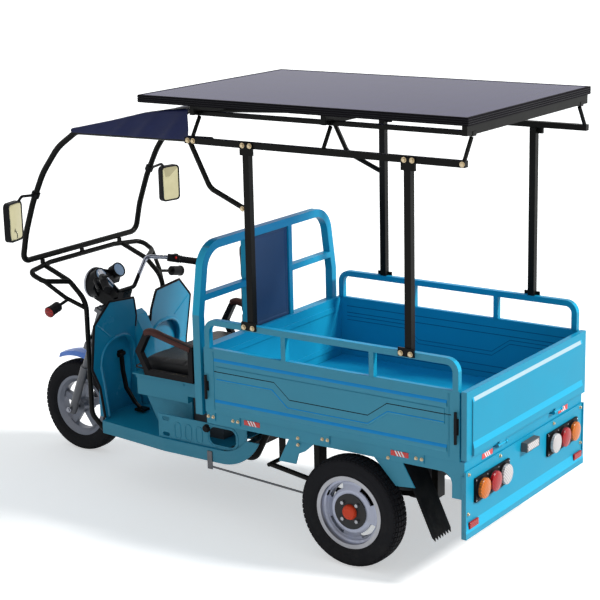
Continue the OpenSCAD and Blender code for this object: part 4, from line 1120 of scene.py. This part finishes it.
def make_mirror_glass():
    """Silvered glass and rim in the housing of each mirror."""
    place = Matrix.Translation((1.0724, 0.606, 1.3794)) @ Matrix.Rotation(math.radians(12.0), 4, "Z")
    glass = round_plate("glass", 0.053, 0.089, 0.018, 0.0025)
    inset(glass, looks_back, (0.004, 0.0012))
    rim = round_plate("rim", 0.0618, 0.0978, 0.0235, 0.004)
    inset(rim, looks_back, (0.008, 0.0), (0.001, -0.003))
    for obj, depth, name, slot, finish in (
            (glass, 0.0158, "mirror_glass", "cell_glass", "mirror_glass"),
            (rim, 0.0172, "mirror_rim", "black_plastic", "black_plastic")):
        obj.data.transform(place @ Matrix.Translation((-depth, 0, 0)))
        smooth(obj, 30)
        both = join(name + "es" if name.endswith("s") else name + "s",
                    [obj, twin(obj, name + "_right", MIRROR_Y)])
        dress(both, "frame", finish)


def make_controls():
    """Ribbed grips, switch housings, levers and the start button."""
    grips, houses, levers = [], [], []
    ribs = 9
    for sign in SIDES:
        inner, outer = steer_point(-0.088, sign * 0.3037, 0.9069), steer_point(-0.158, sign * 0.362, 0.917)
        length = (outer - inner).length
        profile = [(0.0, -0.002), (0.0200, -0.002), (0.0205, 0.004)]
        for index in range(ribs):
            at = 0.008 + (length - 0.016) * index / ribs
            profile += [(0.0172, at), (0.0187, at + 0.0022), (0.0187, at + 0.0040)]
        profile += [(0.0185, length - 0.002), (0.0195, length + 0.002), (0.0150, length + 0.004),
                    (0.0, length + 0.004)]
        grips.append(turned("grip", profile, inner, (outer - inner).normalized(), 28))
        p, q = steer_point(-0.0350, sign * 0.2595, 0.8993), steer_point(-0.0855, sign * 0.3016, 0.9066)
        house = rod("house", p, q, 0.0208, 28)
        soften(house, 0.003)
        middle = (p + q) / 2
        knob = block("knob", (-0.012, -0.013, -0.006), (0.012, 0.013, 0.006))
        soften(knob, 0.002)
        knob.data.transform(Matrix.Translation(middle + Vector((-0.012, 0, 0.019))))
        houses += [house, knob]
        root = middle + Vector((0.026, 0, 0.002))
        tip = outer + Vector((0.052, sign * 0.006, -0.006))
        bend = (root + tip) / 2 + Vector((0.022, 0, 0.0))
        levers.append(tube("lever", [root, root + Vector((0.016, sign * 0.012, 0)), bend, tip], 0.0055, 12))
        levers.append(lens("ball", tip, (0, sign, 0), 0.009, 0.008, 20))
    grip = join("handlebar_grips", grips)
    dress(grip, "steering", "grip_rubber")
    smooth(grip, 40)
    dress(join("switch_housings", houses), "steering", "black_plastic")
    dress(join("brake_levers", levers), "steering", "black_plastic")
    button = lens("start_button", middle + Vector((-0.0195, 0.004, 0.006)), (-0.9, 0, 0.3), 0.008, 0.006, 24)
    dress(button, "steering", "red_button")


def make_dials():
    """Two dials with their bezels on top of the instruments."""
    lift = math.radians(38.0)
    axis = steer_turn(-math.sin(lift), 0.0, math.cos(lift))
    across = Vector((0, 1, 0))
    upward = axis.cross(across)
    radius = 0.0335
    ring = [(0.0340, 0.0), (0.0395, -0.010), (0.0405, 0.002), (0.0390, 0.0065), (0.0355, 0.0060), (0.0340, 0.003)]
    faces, bezels = [], []
    for sign in SIDES:
        centre = steer_point(0.140, sign * 0.070, 0.752) + axis * 0.046
        dial = turned("dial", [(0.0, 0.0004), (radius, 0.0004), (radius, 0.0024), (0.0, 0.0024)], centre, axis, 40)
        layer = dial.data.uv_layers.new(name="dial_map")
        for loop in dial.data.loops:
            away = dial.data.vertices[loop.vertex_index].co - centre
            layer.data[loop.index].uv = (0.5 + away.dot(across) / (2 * radius),
                                         0.5 - away.dot(upward) / (2 * radius))
        faces.append(dial)
        bezels.append(turned("bezel", ring, centre, axis, 40))
    dress(join("dial_faces", faces), "steering", "dial")
    bezel = join("dial_bezels", bezels)
    smooth(bezel, 40)
    dress(bezel, "steering", "black_plastic")


# Trim and fasteners


def make_shield_trim():
    """Black rubber channel round the free edges of the leg shields."""
    plate_x, knee_z = 0.832 - 0.024, 0.600

    def on_plate(y, z):
        upper, lower = 0.048 * (z - knee_z) / 0.340, 0.042 * (knee_z - z) / 0.2646
        return Vector((plate_x - (upper if z > knee_z else lower) + 0.0025, y, z))

    outline = [(0.061, 0.760), (0.061, 0.818), (0.0655, 0.836), (0.086, 0.907), (0.093, 0.9213), (0.105, 0.9225),
               (0.262, 0.9382), (0.281, 0.9395), (0.292, 0.928), (0.378, 0.843), (0.3857, 0.832),
               (0.3856, 0.815), (0.380, 0.605), (0.378, 0.594), (0.347, 0.506), (0.345, 0.495), (0.345, 0.345)]
    line = tube("shield_trim_left", [on_plate(y, z) for y, z in outline], sizes().trim_radius, 12,
                smooth_path=False)
    dress(pair("shield_trim", line), "frame", "flap_rubber")


def make_module_trim():
    """Pressed ridges round the side of the solar module's frame."""
    low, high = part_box("solar_frame")
    proud, half_height = 0.0014, 0.0017
    rings = []
    for share in (0.22, 0.48, 0.74):
        z = low.z + share * (high.z - low.z)
        ring = block("ridge", (low.x - proud, low.y - proud, z - half_height),
                     (high.x + proud, high.y + proud, z + half_height))
        pick(ring, lambda f: abs(f.normal.z) > 0.9)
        bpy.ops.mesh.delete(type="FACE")
        close_edit()
        modify(ring, "SOLIDIFY", thickness=0.0028, offset=-1.0)
        soften(ring, 0.0007)
        rings.append(ring)
    dress(join("module_frame_ridges", rings), "frame", "ridge_aluminium")


def make_charge_cap():
    """Round black cap of the charging socket on the left side panel."""
    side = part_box("side_panels")[1].y
    shift = side - 0.33
    place = Vector((0.1276 - shift * 0.797, side - 0.004, 0.3948 + shift * 0.43))
    profile = [(0.0, 0.0), (0.020, 0.0), (0.020, 0.006), (0.0165, 0.0085), (0.0165, 0.016), (0.0140, 0.0185),
               (0.0, 0.0195)]
    cap = turned("charge_socket_cap", profile, place, (0, 1, 0), 32)
    smooth(cap, 35)
    dress(cap, "frame", "black_plastic")


def set_bolts(name, radius, places):
    """One object of hexagon heads on washers; each place is a point and the direction it points to."""
    head = rod("bolt", (0, 0, 0.0015), (0, 0, 0.0085), radius, 6)
    soften(head, 0.0010)
    seed = join("bolt", [head, rod("washer", (0, 0, 0.0), (0, 0, 0.0018), radius * 1.35, 20)])
    bolts = []
    for index, (point, out) in enumerate(places):
        turn = Vector(out).to_track_quat("Z", "Y").to_matrix().to_4x4()
        bolts.append(twin(seed, f"{name}_{index}", Matrix.Translation(point) @ turn))
    bpy.data.objects.remove(seed)
    obj = join(name, bolts)
    smooth(obj, 30)
    dress(obj, "frame", "brass")


def make_fasteners():
    """Bolts of the roof frame, of the skirt and of the rear panel."""
    roof, panel = [], []
    for sign in SIDES:
        spots = []
        for x in POST_X:
            spots += [(x + dx, 0.5834, RAIL_Z) for dx in (0.012, -0.027)]
            spots += [(x + dx, 0.5844, 1.0245) for dx in (0.034, -0.014)]
        spots += [(x, 0.5770, RAIL_Z) for x in (-0.022, -0.052, -1.430)]
        spots.append((-0.316, 0.5748, 1.567))
        roof += [((x, sign * y, z), (0, sign, 0)) for x, y, z in spots]
        spots = [(x + dx, 0.572, 0.561) for x in BOARD_HINGE_X for dx in (-0.014, 0.014)]
        spots += [(x, 0.5662, z) for x, z in ((-0.5830, 0.508), (-0.5830, 0.540), (-1.060, 0.535))]
        panel += [((x, sign * y, z), (0, sign, 0)) for x, y, z in spots]
    rear = [(y, 0.522) for y in (-0.54, -0.26, 0.26, 0.54)] + [(y, 0.345) for y in (-0.545, 0.545)]
    panel += [((-1.4440, y, z), (-1, 0, 0)) for y, z in rear]
    set_bolts("roof_bolts", sizes().bolt_radius, roof)
    set_bolts("panel_bolts", 0.006, panel)


# Stage


def aim_vectors(stage):
    """Right, up and back of the camera."""
    back = Vector((math.sin(stage.azimuth) * math.cos(stage.elevation),
                   -math.cos(stage.azimuth) * math.cos(stage.elevation), math.sin(stage.elevation)))
    right = (-back).cross(Vector((0, 0, 1))).normalized()
    up = right.cross(-back)
    turned_right = right * math.cos(stage.roll) + up * math.sin(stage.roll)
    turned_up = -right * math.sin(stage.roll) + up * math.cos(stage.roll)
    return turned_right, turned_up, back


def seen_mask(tree):
    """1 for rays that show the background itself: to the camera, in gloss and through glass."""
    path = tree.nodes.new("ShaderNodeLightPath").outputs
    gloss = math_node(tree, "MAXIMUM", path["Is Glossy Ray"], path["Is Transmission Ray"])
    return math_node(tree, "MAXIMUM", path["Is Camera Ray"], gloss)


def make_camera(scene, stage):
    right, up, back = aim_vectors(stage)
    place = Vector((-0.214, 0.0, 1.0105)) + back * stage.distance
    deselect()
    bpy.ops.object.camera_add(location=place)
    camera = bpy.context.object
    camera.name = "photo_camera"
    camera.matrix_world = Matrix.Translation(place) @ Matrix((right, up, back)).transposed().to_4x4()
    camera.data.sensor_fit = "HORIZONTAL"
    camera.data.sensor_width = 36.0
    camera.data.lens = stage.lens
    camera.data.clip_end = 300.0
    scene.camera = camera


def make_floor():
    deselect()
    bpy.ops.mesh.primitive_plane_add(size=160.0, location=(0, 0, -0.0004))
    floor = settle(bpy.context.object, "stage_floor")
    material, tree, shader = new_finish(
        "stage_floor_finish", Roughness=0.9, Specular_IOR_Level=0.1, Base_Color=(0.86, 0.86, 0.86),
        Emission_Color=(1.0, 1.0, 1.0))
    feed(shader, Emission_Strength=Term(seen_mask(tree)) * 0.50)
    set_material(floor, material)


def make_world(scene, stage):
    scene.world = bpy.data.worlds.new("studio")
    scene.world.use_nodes = True
    tree = scene.world.node_tree
    seen = Term(seen_mask(tree))
    feed(tree.nodes["Background"], Color=mix_colour(tree, seen, (0.86, 0.95, 1.0), (1.0, 1.0, 1.0)),
         Strength=spread(seen, 0.0, 1.0, stage.sky, 1.0, "LINEAR"))


def lamp(name, kind, place, towards, **settings):
    """A lamp that shines from the given direction."""
    deselect()
    bpy.ops.object.light_add(type=kind, location=place)
    obj = bpy.context.object
    obj.name = name
    obj.rotation_euler = Vector(towards).to_track_quat("Z", "Y").to_euler()
    for key, value in settings.items():
        setattr(obj.data, key, value)
    return obj


def make_stage():
    scene = bpy.context.scene
    stage = scene.trike_stage
    scene.view_settings.view_transform = "Standard"
    make_camera(scene, stage)
    make_floor()
    make_world(scene, stage)
    lamp("soft_sun", "SUN", (-4, -2, 6), (-0.75, -0.25, 0.62), energy=stage.sun, angle=math.radians(10.0),
         color=(1.0, 0.985, 0.96))
    lamp("left_fill", "AREA", (-1.0, 6.0, 3.4), (-0.1, 0.9, 0.40), energy=8.0, size=4.0)
    bounce = lamp("bed_bounce", "AREA", (-0.72, 0.0, 1.78), (0.0, 0.0, 1.0), energy=6.0, size=0.9,
                  color=(0.25, 0.55, 1.0))
    bounce.visible_camera = False
    bounce.visible_glossy = False


# Operators


class TrikeStep:
    """What all steps share: each runs its own functions in turn."""
    bl_options = {"REGISTER", "UNDO"}
    work = ()

    def execute(self, context):
        for job in type(self).work:
            job()
        return {"FINISHED"}


class TRIKE_OT_stage(TrikeStep, bpy.types.Operator):
    """Camera, pale floor and soft light"""
    bl_idname = "trike.stage"
    bl_label = "Stage"
    work = (make_stage,)


class TRIKE_OT_finishes(TrikeStep, bpy.types.Operator):
    """Finishes for every solid of the frame"""
    bl_idname = "trike.finishes"
    bl_label = "Finishes"
    work = (make_finishes, paint_nodes)


class TRIKE_OT_soft_goods(TrikeStep, bpy.types.Operator):
    """Seat cushion, backrest, armrest pads and the rider's cover"""
    bl_idname = "trike.soft_goods"
    bl_label = "Soft goods"
    work = (make_cushion, make_backrest, make_armrest_pads, make_cover)


class TRIKE_OT_wheels(TrikeStep, bpy.types.Operator):
    """Tyres with tread, valves and axle nuts"""
    bl_idname = "trike.wheels"
    bl_label = "Wheels"
    work = (make_tyres, make_wheel_fittings)


class TRIKE_OT_lamps(TrikeStep, bpy.types.Operator):
    """Rear lamps, reflectors, turn signals and headlamp"""
    bl_idname = "trike.lamps"
    bl_label = "Lamps"
    work = (make_rear_lamps, make_reflectors, make_front_lamps)


class TRIKE_OT_controls(TrikeStep, bpy.types.Operator):
    """Mirrors, grips, switches, levers and dials"""
    bl_idname = "trike.controls"
    bl_label = "Controls"
    work = (make_mirror_glass, make_controls, make_dials)


class TRIKE_OT_trim(TrikeStep, bpy.types.Operator):
    """Edge trim, ridges of the module's frame, charging cap and bolts"""
    bl_idname = "trike.trim"
    bl_label = "Trim and fasteners"
    work = (make_shield_trim, make_module_trim, make_charge_cap, make_fasteners)


STEPS = (TRIKE_OT_stage, TRIKE_OT_finishes, TRIKE_OT_soft_goods, TRIKE_OT_wheels, TRIKE_OT_lamps,
         TRIKE_OT_controls, TRIKE_OT_trim)


class TRIKE_PT_panel(bpy.types.Panel):
    """Lists the settings and the steps"""
    bl_idname = "TRIKE_PT_panel"
    bl_label = "Solar Cargo Tricycle"
    bl_space_type = "VIEW_3D"
    bl_region_type = "UI"
    bl_category = "Tricycle"

    def draw(self, context):
        for holder in (context.scene.trike_colours, context.scene.trike_sizes, context.scene.trike_stage):
            column = self.layout.column()
            for name in holder.__annotations__:
                column.prop(holder, name)
        for step in STEPS:
            self.layout.operator(step.bl_idname)


CLASSES = (TRIKE_PG_colours, TRIKE_PG_sizes, TRIKE_PG_stage, *STEPS, TRIKE_PT_panel)


def register():
    for cls in CLASSES:
        bpy.utils.register_class(cls)
    bpy.types.Scene.trike_colours = bpy.props.PointerProperty(type=TRIKE_PG_colours)
    bpy.types.Scene.trike_sizes = bpy.props.PointerProperty(type=TRIKE_PG_sizes)
    bpy.types.Scene.trike_stage = bpy.props.PointerProperty(type=TRIKE_PG_stage)


def unregister():
    for name in ("trike_colours", "trike_sizes", "trike_stage"):
        delattr(bpy.types.Scene, name)
    for cls in reversed(CLASSES):
        bpy.utils.unregister_class(cls)


def main():
    register()
    for step in STEPS:
        area, name = step.bl_idname.split(".")
        getattr(getattr(bpy.ops, area), name)()
    deselect()


if __name__ == "__main__":
    main()
